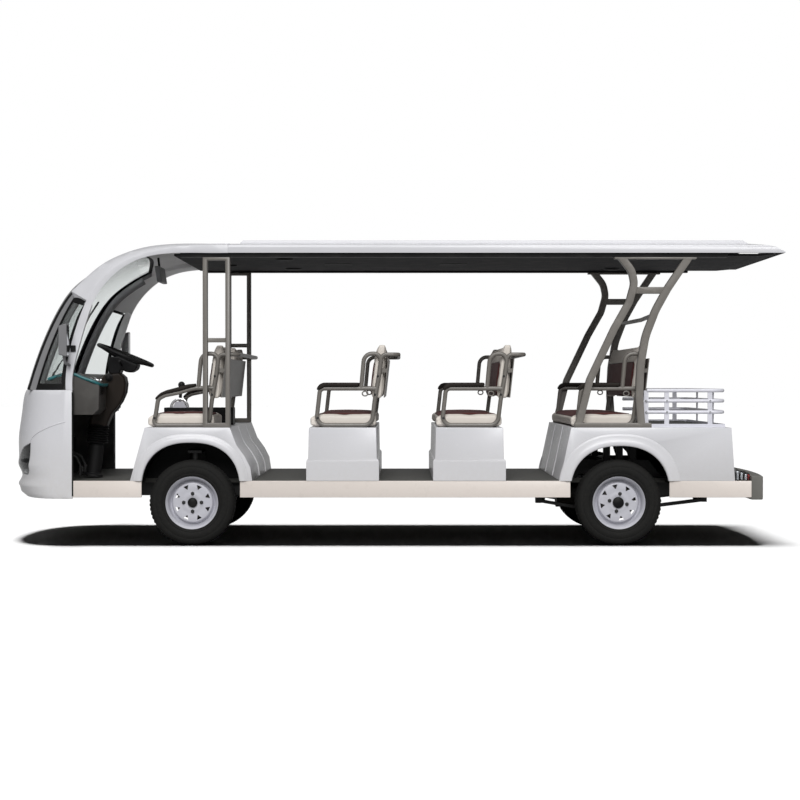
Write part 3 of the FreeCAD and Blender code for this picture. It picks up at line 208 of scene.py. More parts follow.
def clear_pane(name, code, rough=0.0, clear=1.0):
    """Laminated or moulded clear sheet: a faint tint, sharp reflections, a little dust haze."""
    s = Surface(name, IOR=1.5, Transmission_Weight=clear, Base_Color=linear(code))
    return s.done(Roughness=s.ramp(s.noise(18.0, 6.0), 0.5, 0.8, rough, rough + 0.05))


def bright_metal(name, code, rough=0.12):
    """Plated or polished metal: mirror-like with faint cloudy smears."""
    s = Surface(name, Metallic=1.0, Base_Color=linear(code))
    return s.done(Roughness=s.ramp(s.noise(40.0, 5.0), 0.0, 1.0, rough, rough + 0.15))


MATERIALS = {}


def build_materials(colours):
    MATERIALS.update({
        "body": gel_coat("gel coat on glass fibre", colours.body),
        "skirt": sprayed_steel("satin stoving enamel on steel sheet", colours.skirt, 0.34, "#c2b9b2", 0.3,
                               2.5),
        "posts": sprayed_steel("powder coat on square steel tube", colours.posts, 0.38, "#969289", 0.3),
        "tubes": sprayed_steel("powder coat on round steel tube", "#6e6a65", 0.36, "#96918a", 0.3),
        "chassis": sprayed_steel("black chassis enamel on steel", "#141414", 0.5, "#3a3733", 0.5),
        "enamel": sprayed_steel("white stoving enamel on pressed steel", "#babac1", 0.3, "#9c9a9d", 0.3),
        "rack": sprayed_steel("white stoving enamel on steel tube", "#d6d6de", 0.3, "#b4b2b6", 0.2),
        "iron": sprayed_steel("rusty-edged cast iron", "#26231f", 0.6, "#4b3a2e", 0.6, 2.5),
        "trim": sprayed_steel("teal lacquered bead", colours.trim, 0.3, "#2f7478", 0.2),
        "leather": artificial_leather("two-colour embossed artificial leather", colours.seat, colours.inset),
        "tyre": rubber("vulcanised tyre rubber", "#0e0e0d", 0.75, dust=0.06),
        "seal": rubber("extruded black rubber seal", "#0b0b0c", 0.6, dust=0.03),
        "mat": rubber("ribbed rubber floor mat", "#4a4a47", 0.62, rib_mm=12),
        "deck": rubber("ribbed rubber deck mat", "#3c3c3b", 0.62, rib_mm=16),
        "glass": clear_pane("clear laminated glass", "#e2e6e5"),
        "lens": clear_pane("moulded clear polycarbonate", "#f2f5f7", 0.02),
        "red": clear_pane("moulded red lamp lens", "#c8141a", 0.05, 0.35),
        "pad": moulded_plastic("self-skinned polyurethane foam", "#24201d", 0.6, 1.2, "#3a3430", 0.3),
        "black": moulded_plastic("black moulded plastic", "#0f0f10", 0.45, wear_and_sheen_share=0.05),
        "dash": moulded_plastic("grey moulded dashboard skin", "#474543", 0.5, 2.2),
        "lining": moulded_plastic("dark felt-backed lining", "#222225", 0.75, 2.6),
        "cab": moulded_plastic("dark resin inner skin", "#2b2b2c", 0.6, 3.0),
        "bumper": moulded_plastic("textured grey bumper moulding", "#6b6a66", 0.6, 2.4),
        # the shroud's paler brown patches are a painted sheen
        "shroud": moulded_plastic("brown-grey steering shroud", "#241f1b", 0.42, 1.8, "#5a4e44", 0.15),
        "post_grey": moulded_plastic("satin grey pillar moulding", "#7d7d7f", 0.5, 3.0),
        # painted light: the roof front's inner skin is paler than the body to stand in for light its inner
        # faces do not get
        "inner": moulded_plastic("inner skin of the roof front with painted light", "#dededf", 0.6, 3.0),
        "mirror_case": moulded_plastic("grey mirror case", "#7c7c7e", 0.4, 1.6),
        "chrome": bright_metal("chrome plate on steel", "#d9dadc"),
        "reflector": bright_metal("vapour-coated lamp reflector", "#b9babd", 0.2),
        "silver": bright_metal("silvered mirror glass", "#e6e8ea", 0.02)})


# ---- settings a user would change
def code_of(name, description, default):
    """Setting that holds an sRGB code."""
    return StringProperty(name=name, description=description, default=default)


def length(name, description, default, low, high):
    """Setting that holds a length in metres."""
    return FloatProperty(name=name, description=description, default=default, min=low, max=high,
                         unit="LENGTH")


class BusColours(bpy.types.PropertyGroup):
    """sRGB codes of the main finishes."""
    body: code_of("Body", "Gel coat of the body panels", "#d2d2d6")
    skirt: code_of("Skirts", "Paint of the side skirts", "#dad1ca")
    posts: code_of("Posts", "Powder coat of the roof frames", "#716d68")
    seat: code_of("Seats", "Outer artificial leather", "#dfd8d0")
    inset: code_of("Seat insets", "Inner artificial leather", "#573231")
    trim: code_of("Dash trim", "Bead round the dashboard", "#1d5f63")


class BusSizes(bpy.types.PropertyGroup):
    """Sizes of the looks; the frame fixes all others."""
    edge: length("Panel edge", "Rounding of the body panels' edges", 0.004, 0.001, 0.01)
    flare: length("Flare", "How far the wheel arch lips stand proud", 0.013, 0.004, 0.03)
    crown: length("Seat crown", "Most that a cushion swells", 0.022, 0.005, 0.03)
    cloth: length("Cloth cell", "Mesh cell for the swelling of the cushions", 0.012, 0.006, 0.03)
    groove: length("Tread groove", "Depth of the tyre's grooves", 0.007, 0.003, 0.012)


# ---- making pieces
def as_object(bm, name):
    """Plain object in the scene from a bmesh, which is freed."""
    mesh = bpy.data.meshes.new(name)
    bm.to_mesh(mesh)
    bm.free()
    return link(mesh, name)


def link(data, name):
    """Object of the data, linked to the scene."""
    thing = bpy.data.objects.new(name, data)
    bpy.context.scene.collection.objects.link(thing)
    return thing


def evaluated_mesh(thing):
    return bpy.data.meshes.new_from_object(thing.evaluated_get(bpy.context.evaluated_depsgraph_get()))


def apply_modifiers(thing):
    thing.data = evaluated_mesh(thing)
    thing.modifiers.clear()


def place(bm, name, finish, body="chassis", replaces=None, bevel=0.0, segments=2, limit=35.0,
          smooth=40.0, levels=0):
    """Turn a bmesh into a piece that rides on a body, with rounded edges if bevel is given.

    The finish is the key of one material, or the keys of an outer and an inner one."""
    piece = as_object(bm, name)
    mesh = piece.data
    keys = (finish,) if isinstance(finish, str) else finish
    for key in keys:
        mesh.materials.append(MATERIALS[key])
    mesh.shade_smooth()
    if bevel:
        edge = piece.modifiers.new("edge", "BEVEL")
        edge.width, edge.segments, edge.limit_method = bevel, segments, "ANGLE"
        edge.angle_limit, edge.harden_normals = radians(limit), True
        edge.miter_outer = "MITER_ARC"
    elif levels:
        smoother = piece.modifiers.new("smooth", "SUBSURF")
        smoother.levels = smoother.render_levels = levels
    else:
        mesh.set_sharp_from_angle(angle=radians(smooth))
    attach(piece, body)
    if replaces:
        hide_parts(replaces)
    return piece


def verts_in(items):
    return [item for item in items if isinstance(item, bmesh.types.BMVert)]


def whole(bm):
    return bm.verts[:] + bm.edges[:] + bm.faces[:]


def copy_of(node):
    """Merged copy of a CAD node, with flat pairs of triangles joined up."""
    bm = bmesh.new()
    bm.from_mesh(NODES[node].data)
    ops.remove_doubles(bm, verts=bm.verts, dist=0.00002)
    ops.join_triangles(bm, faces=bm.faces, angle_face_threshold=radians(1),
                       angle_shape_threshold=radians(120))
    return bm


def join(target, other):
    """Move the faces of one bmesh into another."""
    mesh = bpy.data.meshes.new("part")
    other.to_mesh(mesh)
    other.free()
    target.from_mesh(mesh)
    bpy.data.meshes.remove(mesh)


def carve(bm, cutter):
    """bm with the cutter's volume taken out of it."""
    blank, tool = as_object(bm, "blank"), as_object(cutter, "cutter")
    cut = blank.modifiers.new("cut", "BOOLEAN")
    cut.operation, cut.object, cut.solver = "DIFFERENCE", tool, "MANIFOLD"
    bpy.context.view_layer.update()
    done = bmesh.new()
    done.from_object(blank, bpy.context.evaluated_depsgraph_get())
    for thing in (blank, tool):
        bpy.data.objects.remove(thing)
    return done


def prism(bm, corners, along):
    """Add a solid to bm: the face through the corners, drawn out along a vector."""
    face = bm.faces.new([bm.verts.new(corner) for corner in corners])
    made = ops.extrude_face_region(bm, geom=[face])["geom"]
    ops.translate(bm, vec=along, verts=verts_in(made))


def slab(outline, y, half):
    """Plate with a side outline of (x, z) points, from y - half to y + half."""
    bm = bmesh.new()
    prism(bm, [(x, y - half, z) for x, z in outline], (0, 2 * half, 0))
    ops.recalc_face_normals(bm, faces=bm.faces)
    return bm


def section_points(node, y, keep):
    """Points where a CAD node's surface crosses the plane at y, from the lowest up."""
    bm = copy_of(node)
    cut = ops.bisect_plane(bm, geom=whole(bm), plane_co=(0, y, 0), plane_no=AXIS_Y)["geom_cut"]
    bm.normal_update()
    points = sorted((vert.co.copy() for vert in verts_in(cut) if keep(vert)), key=lambda point: point.z)
    bm.free()
    return [point for i, point in enumerate(points) if i == 0 or (point - points[i - 1]).length > 0.008]


def lathe(outline, centre, axis, across, steps=48):
    """Spin an outline of (radius, distance along the axis), both in mm, round an axis through centre."""
    bm = bmesh.new()
    axis, across = Vector(axis).normalized(), Vector(across).normalized()
    verts = [bm.verts.new(Vector(centre) + across * (radius / 1000) + axis * (along / 1000))
             for radius, along in outline]
    edges = [bm.edges.new(pair) for pair in zip(verts, verts[1:])]
    ops.spin(bm, geom=verts + edges, cent=centre, axis=axis, angle=2 * pi, steps=steps,
             use_merge=True, use_duplicate=False)
    ops.remove_doubles(bm, verts=bm.verts, dist=0.00001)
    loops = [edge for edge in bm.edges if edge.is_boundary]
    if loops:
        ops.holes_fill(bm, edges=loops, sides=0)
    ops.recalc_face_normals(bm, faces=bm.faces)
    if bm.calc_volume(signed=True) < 0:
        ops.reverse_faces(bm, faces=bm.faces)
    return bm


def block(low, high, bm=None):
    """Box between two corners, ready to be shaped further."""
    bm = bm or bmesh.new()
    low, high = Vector(low), Vector(high)
    verts = ops.create_cube(bm, size=1.0)["verts"]
    ops.scale(bm, vec=high - low, verts=verts)
    ops.translate(bm, vec=(low + high) / 2, verts=verts)
    return bm


def recess(bm, axis, rim, depth):
    """Sink the face that lies farthest along an axis, inside a rim."""
    face = max(bm.faces, key=lambda f: f.calc_center_median()[axis])
    ops.inset_region(bm, faces=[face], thickness=rim, depth=-depth)


def bead(points, radius, name, finish, closed=False):
    """Round bead or tube along a smooth line through the points."""
    line = bpy.data.curves.new(name, "CURVE")
    line.dimensions, line.bevel_depth, line.bevel_resolution, line.resolution_u = "3D", radius, 3, 8
    line.use_fill_caps = True
    spline = line.splines.new("BEZIER")
    spline.bezier_points.add(len(points) - 1)
    for knot, point in zip(spline.bezier_points, points):
        knot.co = point
        knot.handle_left_type = knot.handle_right_type = "AUTO"
    spline.use_cyclic_u = closed
    source = link(line, name + "_line")
    bm = bmesh.new()
    bm.from_mesh(evaluated_mesh(source))
    bpy.data.objects.remove(source)
    place(bm, name, finish)


def add_mirrored(bm):
    """Add the mirror image across the bus's middle and turn its faces outwards."""
    made = ops.duplicate(bm, geom=whole(bm))["geom"]
    ops.scale(bm, vec=(1, -1, 1), verts=verts_in(made))
    ops.reverse_faces(bm, faces=[item for item in made if isinstance(item, bmesh.types.BMFace)])
    return bm


def paint_inside(bm, inside):
    """Second material on the faces that turn away from the outside."""
    for face in bm.faces:
        if inside(face.calc_center_median(), face.normal):
            face.material_index = 1
    return bm


def repaint(finish, *nodes):
    """Give CAD nodes that stay as they are another finish."""
    for node in nodes:
        for slot in NODES[node].material_slots:
            slot.material = MATERIALS[finish]


# ---- body
def flare(arch, proud, reach, steps=72):
    """Rolled lip round a wheel arch that fades into the side panel."""
    x, z, half_w, height, power = arch
    rows = [(0.0, -0.012), (0.0, proud * 0.55), (0.004, proud * 0.9), (0.012, proud), (0.026, proud * 0.95),
            (0.034, proud * 0.72), (0.04, proud * 0.55), (reach - 0.008, proud * 0.38), (reach, proud * 0.28),
            (reach + 0.008, 0.0), (reach + 0.009, -0.003)]
    bm = bmesh.new()
    grid = []
    for grow, out in rows:
        turns = [(cos(pi * i / steps), sin(pi * i / steps)) for i in range(steps + 1)]
        grid.append([bm.verts.new((x + (half_w + grow) * copysign(abs(run) ** (2 / power), run), BODY_W + out,
                                   z + (height + grow) * abs(rise) ** (2 / power))) for run, rise in turns])
    for inner, outer in zip(grid, grid[1:]):
        for i in range(steps):
            bm.faces.new((inner[i], inner[i + 1], outer[i + 1], outer[i]))
    ops.bisect_plane(bm, geom=whole(bm), plane_co=(0, 0, FLOOR_TOP), plane_no=(0, 0, -1),
                     clear_outer=True)
    ops.recalc_face_normals(bm, faces=bm.faces)
    if sum(face.normal.y * face.calc_area() for face in bm.faces) < 0:
        ops.reverse_faces(bm, faces=bm.faces)
    return bm


def cowl_point(x, z, side):
    """Point 1 mm under the nose's side surface at one x and z."""
    bow, widest_z, bow_half_z, roundness = 0.058, 0.59, 0.414, 2.4
    setback = bow * ((z - widest_z) / bow_half_z) ** 2
    side_x = COWL_REAR - 0.04
    share = min(max((side_x - x) / (side_x - NOSE - setback), 0.0), 1.0)
    return Vector((x, side * (BODY_W * (1 - share ** roundness) ** (1 / roundness) - 0.001), z))


class BUS_OT_body(bpy.types.Operator):
    """Body panels with rounded edges, dark inner skins, a pale painted-light one in the roof front, wheel
    arch lips and the posts under the roof
    """
    bl_idname = "bus.body"
    bl_label = "Body panels"

    def execute(self, context):
        sizes = context.scene.bus_sizes
        heart_z = 0.45
        shells = {"front_cowl": ("cab", Vector((COWL_REAR, 0, 0.62)), 0.003),
                  "front_seat_base": ("chassis", Vector((FX, 0, heart_z)), sizes.edge),
                  "rear_body": ("chassis", Vector((RX + 0.15, 0, heart_z)), sizes.edge)}
        for node, (inner, heart, edge) in shells.items():
            bm = paint_inside(copy_of(node), lambda at, normal: normal.dot(at - heart) < -0.01
                              and abs(at.y) < BODY_W - 0.009)
            place(bm, node + "_panels", ("body", inner), replaces=node, bevel=edge)
        rows = [middle(row + "_cushion").x for row in BENCH_ROWS[:2]]
        bm = paint_inside(copy_of("bench_bases"), lambda at, normal: normal.dot(
            at - Vector((min(rows, key=lambda x: abs(x - at.x)), 0, heart_z))) < -0.01)
        place(bm, "bench_base_panels", ("body", "chassis"), replaces="bench_bases", bevel=sizes.edge)
        head = Vector((FX - 0.3, 0, 1.35))
        # painted light: the inner faces of the roof front take the pale inner colour in place of light that
        # does not reach them
        bm = paint_inside(copy_of("front_roof_shell"), lambda at, normal: normal.dot(at - head) < -0.02)
        place(bm, "front_roof_shell_panels", ("body", "inner"), replaces="front_roof_shell", bevel=0.003)
        bm = paint_inside(copy_of("roof_shell"), lambda at, normal: normal.z < -0.25)
        place(bm, "roof_shell_panels", ("body", "lining"), replaces="roof_shell", bevel=0.006)
        place(copy_of("side_skirts"), "skirt_panels", "skirt", replaces="side_skirts", bevel=0.003)
        place(copy_of("rear_bumper"), "bumper_moulding", "bumper", replaces="rear_bumper", bevel=0.008,
              segments=3)
        for node in ("partition_frames", "canopy_frames"):
            place(copy_of(node), node + "_tubes", "posts", replaces=node, bevel=0.004)
        arches = {"front": ((FX - 0.005, 0.352, 0.317, 0.313, 2.4), 0.05),
                  "rear": ((RX + 0.004, 0.335, 0.319, 0.309, 2.3), 0.07)}
        for name, (arch, reach) in arches.items():
            place(add_mirrored(flare(arch, sizes.flare, reach)), name + "_arch_lips", "body", smooth=50)
        return {"FINISHED"}


class BUS_OT_trims(bpy.types.Operator):
    """Rubber door edges, nose crease, ribs and plinths of the seat boxes and a blank rear plate"""
    bl_idname = "bus.trims"
    bl_label = "Body trims"

    def execute(self, context):
        crease = [(-2.352, 0.672), (-2.33, 0.7), (-2.285, 0.732), (-2.215, 0.765), (-2.15, 0.788),
                  (-2.105, 0.8)]
        for side, tag in SIDES:
            bead([cowl_point(x, z, side) for x, z in crease], 0.0045, "nose_crease_" + tag, "body")
            bead([(COWL_REAR + 0.001, side * (BODY_W - 0.003), z) for z in (0.32, 0.6, 0.99)], 0.006,
                 "door_seal_" + tag, "seal")
        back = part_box("rear_bumper")[1][0]
        plate = block((back - 0.01, -0.22, 0.31), (back, 0.22, 0.39))
        recess(plate, 0, 0.008, 0.003)
        place(plate, "rear_plate_blank", "enamel", bevel=0.002)
        bm = bmesh.new()
        half_depth = 0.2345
        for row in BENCH_ROWS[:2]:
            x = middle(row + "_cushion").x
            block((x - half_depth, BODY_W - 0.004, FLOOR_TOP),
                  (x + half_depth, BODY_W + 0.003, FLOOR_TOP + 0.13), bm)
        place(add_mirrored(bm), "seat_box_plinths", "body", bevel=0.0025)
        foot = FLOOR_TOP + 0.008
        slopes = {"front": [(FX + 0.247, 0.758), (FX + 0.29, 0.65), (FX + 0.345, 0.574), (FX + 0.379, 0.506),
                            (FX + 0.392, foot)],
                  "rear": [(RX - 0.312, 0.758), (RX - 0.384, foot)]}
        for end, line in slopes.items():
            for side, tag in SIDES:
                bead([(x, side * 0.25, z) for x, z in line], 0.005, f"{end}_slope_rib_{tag}", "body")
        return {"FINISHED"}


class BUS_OT_lamps(bpy.types.Operator):
    """Headlamp housings with projectors behind clear lenses, rear lamps and roof lamps"""
    bl_idname = "bus.lamps"
    bl_label = "Lamps"

    def execute(self, context):
        repaint("lens", "headlamps", "tail_lamps")
        lamp_z = 0.552
        bm = copy_of("headlamps")
        for vert in bm.verts:
            vert.co = Vector((vert.co.x + 0.012, vert.co.y * 0.988, lamp_z + (vert.co.z - lamp_z) * 0.98))
        place(bm, "headlamp_housings", "black")
        for side, tag in SIDES:
            for i, (x, y, z, r) in enumerate(((0.105, 0.47, 0.5, 22), (0.161, 0.545, 0.545, 26))):
                at = (NOSE + x, side * y, z)
                ring = [(r * 0.5, 30), (r + 10, 28), (r + 12, 4), (r + 6, 0), (r, 6), (r * 0.98, 20)]
                place(lathe(ring, at, AXIS_X, AXIS_Z, 40), f"projector_ring_{tag}_{i}", "chrome")
                dome = [(MID, 0), (r * 0.45, 3), (r * 0.8, 11), (r * 0.97, 22)]
                place(lathe(dome, at, AXIS_X, AXIS_Z, 40), f"projector_lens_{tag}_{i}", "silver",
                      levels=1)
        low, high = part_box("tail_lamps")
        bm = bmesh.new()
        for i in range(3):
            x = low[0] + 0.01 + 0.026 * i
            block((x, 0.585, low[2] + 0.004), (x + 0.017, 0.7, high[2] - 0.018 - 0.01 * i), bm)
        place(add_mirrored(bm), "rear_lamp_reflectors", "reflector", bevel=0.003)
        bm = block((low[0] + 0.086, 0.6, low[2] + 0.004), (high[0] - 0.002, 0.695, low[2] + 0.036))
        place(add_mirrored(bm), "rear_lamp_cells", "red", bevel=0.003)
        bm = block((low[0] + 0.002, 0.568, low[2] + 0.001), (high[0] - 0.004, 0.578, high[2] - 0.022))
        place(add_mirrored(bm), "rear_lamp_housings", "black", bevel=0.002)
        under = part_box("ceiling")[0][2] + 0.001
        spots = [(x, y, 62) for y in (0.43, -0.43) for x in (FX + 0.578, RX + 0.106)]
        spots.append((FX + 0.172, 0.12, 36))
        for i, (x, y, r) in enumerate(spots):
            lamp = [(MID, -14), (r * 0.6, -13), (r * 0.9, -10), (r, -4), (r * 1.03, 0), (MID, 0)]
            place(lathe(lamp, (x, y, under), AXIS_Z, AXIS_X), f"roof_lamp_{i}", "seal")
        slots = bmesh.new()
        for x in (FX + 0.916, RX - 1.042):
            block((x - 0.094, 0.0, under - 0.004), (x + 0.094, 0.07, under + 0.002), slots)
        place(slots, "roof_slots", "seal", bevel=0.0015)
        return {"FINISHED"}


# ---- wheels
def on_circle(centre, radius, angle, out):
    """Point on a circle round a wheel's axis, out from its middle."""
    return Vector((centre.x + radius * cos(angle), centre.y + out, centre.z + radius * sin(angle)))


def tyre(name, groove, steps=180):
    """Tyre with moulded rings on its walls, four grooves and cut shoulder blocks."""
    low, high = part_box("tyre_" + name)
    hub, radius, half = middle("tyre_" + name), (high[2] - low[2]) / 2, (high[1] - low[1]) / 2
    r, w, deep = (1000 * size for size in (radius, half, groove))
    wall = [(164, 20), (167, 12), (174, 7), (186, 3), (190, 4.5), (196, 1), (215, 0), (228, 1), (232, 3),
            (236, 2), (250, 5), (262, 11), (r - 6, 18), (r - 2, 23)]
    outline = [(reach, w - inset) for reach, inset in wall]
    for along, wide in ((49, 4), (20, 5)):
        outline += [(r - 0.5, along + wide), (r - deep, along + wide * 0.6), (r - deep, along - wide * 0.6),
                    (r - 0.3, along - wide)]
    outline += [(reach, -along) for reach, along in outline[::-1]]
    bm = lathe(outline + outline[:1], hub, AXIS_Y, AXIS_Z, steps)
    for vert in bm.verts:
        out = Vector((vert.co.x - hub.x, 0, vert.co.z - hub.z))
        along = vert.co.y - hub.y
        turn = int(round(atan2(out.x, out.z) / (2 * pi) * steps)) + (along > 0)
        if out.length > radius - 0.003 and abs(along) > 0.026 and turn % 3 == 0:
            vert.co -= out.normalized() * groove * 0.7
    place(bm, "tyre_" + name + "_tread", "tyre", body="wheel_" + name, replaces="tyre_" + name, smooth=32)


def rim(name):
    """Pressed wheel with windows cut through its disc, bolts and a hub cap."""
    hub, side, body = middle("tyre_" + name), -1 if name.endswith("left") else 1, "wheel_" + name
    rear = name.startswith("rear")
    turn = radians(-11.5) if rear else 0.0
    dish = [(24, 24), (46, 30), (60, 30), (70, 26.5), (84, 28.5), (122, 28.5), (128, 26), (131, 18), (134, 4),
            (141, -2), (148, 4), (152, 18), (154, 40), (158, 52), (164, 58), (169, 62), (171, 66),
            (169.5, 68.5), (166, 66), (162, 58), (158, 46), (157, -55), (164, -62), (169, -66), (166.5, -69),
            (160, -60), (150, -50), (148, -10), (140, -9), (130, -4), (124, 18), (118, 22.5), (82, 22.5),
            (60, 20), (24, 18)]
    bm = lathe([(r, side * a) for r, a in dish + dish[:1]], hub, AXIS_Y, AXIS_Z, 96)
    cut = bmesh.new()
    windows = 8
    corners = ((0.1165, -0.148), (0.1165, 0.148), (0.089, 0.02), (0.089, -0.02))    # radius, turn in radians
    for i in range(windows):
        angle = radians(22.5 + 360 / windows * i) + turn
        prism(cut, [on_circle(hub, r, angle + a, side * 0.01) for r, a in corners], (0, side * 0.03, 0))
    ops.recalc_face_normals(cut, faces=cut.faces)
    ops.bevel(cut, geom=[e for e in cut.edges if abs((e.verts[0].co - e.verts[1].co).y) > 0.02],
              offset=0.003, segments=3, profile=0.5, affect="EDGES", material=-1, clamp_overlap=True)
    place(carve(bm, cut), "rim_" + name + "_pressing", "enamel", body=body, replaces="rim_" + name,
          bevel=0.0012, limit=50)
    bolts, bolt_circle = bmesh.new(), 0.0572
    bolt = [(MID, 41), (8.5, 41), (9.8, 38.5), (10.2, 31), (13.5, 30.5), (13.5, 28.5), (MID, 28.5)]
    for i in range(4):
        at = on_circle(hub, bolt_circle, radians(90 * i) + turn, 0.0)
        join(bolts, lathe(bolt, at, (0, side, 0), AXIS_Z, 6))
    place(bolts, "bolts_" + name, "chassis", body=body, bevel=0.0008)
    r = 36 if rear else 31
    cap = [(MID, 47), (r * 0.7, 46), (r - 3, 43), (r, 38), (r, 28.5), (MID, 28.5)]
    place(lathe(cap, hub, (0, side, 0), AXIS_Z), "hub_cap_" + name, "black", body=body, bevel=0.001)


class BUS_OT_wheels(bpy.types.Operator):
    """Tyres with grooved treads, pressed white wheels with eight windows, bolts and hub caps"""
    bl_idname = "bus.wheels"
    bl_label = "Wheels"

    def execute(self, context):
        for name in WHEELS:
            tyre(name, context.scene.bus_sizes.groove)
            rim(name)
        return {"FINISHED"}


# ---- seats
LEAN, FOOT_T, TOP_T = 0.05, 0.092, 0.064       # backrest: how far the top leans back, thickness low and high
AISLE = 0.15                                   # inner edge of the single seats
SEAM_REACH, SEAM_DEPTH = 0.009, 0.0035         # half the width of the dent along a seam, and its depth
NOT_SEWN = -0.02                               # distance given to the faces that have no inset


def swell(obj, cap):
    """Blow the closed mesh up a little with Cloth and hold every point within cap of its start."""
    start = [vert.co.copy() for vert in obj.data.vertices]
    puff = obj.modifiers.new("puff", "CLOTH")
    settings = puff.settings
    settings.quality, settings.mass = 4, 0.4
    settings.tension_stiffness = settings.compression_stiffness = 12
    settings.bending_stiffness = 0.6
    settings.use_pressure, settings.uniform_pressure_force = True, 4.0
    settings.effector_weights.gravity = 0.0
    puff.collision_settings.use_collision = False
    puff.point_cache.frame_start, puff.point_cache.frame_end = 1, 20
    scene = bpy.context.scene
    for step in range(1, 21):
        scene.frame_set(step)
    mesh = evaluated_mesh(obj)
    obj.modifiers.clear()
    for vert, before in zip(mesh.vertices, start):
        move = vert.co - before
        if move.length > cap:
            vert.co = before + move.normalized() * cap
    scene.frame_set(1)
    obj.data = mesh


def soft_form(name, size, shape, sew, cap, cell):
    """Padded form: a rounded box of the given size, swelled, shaped to its place and sewn with an inset."""
    half = Vector(size) / 2
    bm = bmesh.new()
    verts = ops.create_cube(bm, size=1.0)["verts"]
    ops.scale(bm, vec=Vector(size) - Vector((0.006, 0.006, 0.006)), verts=verts)
    ops.bevel(bm, geom=bm.edges[:], offset=0.011, segments=3, profile=0.5, affect="EDGES", material=-1)
    obj = as_object(bm, name)
    grid = obj.modifiers.new("grid", "REMESH")
    grid.mode, grid.voxel_size = "VOXEL", cell
    apply_modifiers(obj)
    swell(obj, cap)
    fine = obj.modifiers.new("fine", "SUBSURF")
    fine.levels = fine.render_levels = 1
    apply_modifiers(obj)
    mesh = obj.data
    reach = [max(abs(vert.co[axis]) for vert in mesh.vertices) for axis in range(3)]
    for vert in mesh.vertices:
        for axis in range(3):
            vert.co[axis] *= (half[axis] - 0.002) / reach[axis]
    values = []
    normals = [vert.normal.copy() for vert in mesh.vertices]
    for vert, normal in zip(mesh.vertices, normals):
        edge = sew(vert.co, half, normal)
        vert.co -= normal * SEAM_DEPTH * max(0.0, 1 - abs(edge) / SEAM_REACH)
        for axis in range(3):
            limit = half[axis] - 0.0008
            vert.co[axis] = min(max(vert.co[axis], -limit), limit)
        vert.co = shape(vert.co, half)
        values.append(edge)
    mesh.attributes.new("inset", "FLOAT", "POINT").data.foreach_set("value", values)
    mesh.shade_smooth()
    return obj


def rounded_edge(a, b, half_a, half_b, corner):
    """Signed distance to a rectangle with round corners, positive inside."""
    over_a, over_b = abs(a) - half_a + corner, abs(b) - half_b + corner
    outside = hypot(max(over_a, 0.0), max(over_b, 0.0))
    return corner - outside - min(max(over_a, over_b), 0.0)


def crown(co, half):
    """Cushion: crowned top with a front edge that rolls down."""
    if co.z <= 0:
        return Vector((co.x, co.y, co.z - 0.006))
    share = 1 - (abs(co.y) / half.y) ** 4
    lift = 0.01 * (1 - (co.x / half.x) ** 2) * share
    nose = -0.01 * max(0.0, -co.x / half.x - 0.6) / 0.4
    return Vector((co.x, co.y, co.z - 0.006 + lift + nose))


def reclined(co, half):
    """Backrest: leans back, thinner towards the top, with a belly in front."""
    up = (co.z + half.z) / (2 * half.z)
    thickness = FOOT_T + (TOP_T - FOOT_T) * up
    belly = -0.01 * sin(pi * up) if co.x < 0 else 0.0
    roll = -0.003 * max(0.0, up - 0.85) / 0.15
    return Vector((LEAN * up + thickness / 2 * (1 + co.x / half.x) + belly + 0.002, co.y, co.z + roll))


def seat_sew(co, half, normal):
    """Distance to the border of a cushion's inset."""
    if normal.z < 0.3:
        return NOT_SEWN
    return rounded_edge(co.x + 0.004, co.y, half.x - 0.03, half.y - 0.04, 0.03)


def back_sew(co, half, normal):
    """Distance to the border of a backrest's inset."""
    if normal.x > -0.3:
        return NOT_SEWN
    return rounded_edge(co.y, co.z + 0.052, half.y - 0.03, half.z - 0.062, 0.025)


def place_soft(source, name, move, node=None, mirrored=False):
    """Copy of a padded form, moved to its place."""
    mesh = source.data.copy()
    mesh.transform(Matrix.Translation(move))
    if mirrored:
        mesh.transform(Matrix.Scale(-1, 4, AXIS_Y))
        mesh.flip_normals()
    mesh.materials.clear()
    mesh.materials.append(MATERIALS["leather"])
    piece = link(mesh, name)
    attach(piece, "chassis")
    if node:
        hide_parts(node)


def armrests():
    """Armrest pads, rounded off by remeshing and smoothing."""
    piece = place(copy_of("armrest_pads"), "armrest_pad_skins", "pad", replaces="armrest_pads")
    grid = piece.modifiers.new("grid", "REMESH")
    grid.mode, grid.voxel_size = "VOXEL", 0.005
    apply_modifiers(piece)
    bm = bmesh.new()
    bm.from_mesh(piece.data)
    for _ in range(6):
        ops.smooth_vert(bm, verts=bm.verts, factor=0.5, use_axis_x=True, use_axis_y=True,
                        use_axis_z=True)
    bm.normal_update()
    for vert in bm.verts:
        vert.co += vert.normal * 0.0015
    bm.to_mesh(piece.data)
    bm.free()
    piece.data.materials.clear()
    piece.data.materials.append(MATERIALS["pad"])
    piece.data.shade_smooth()


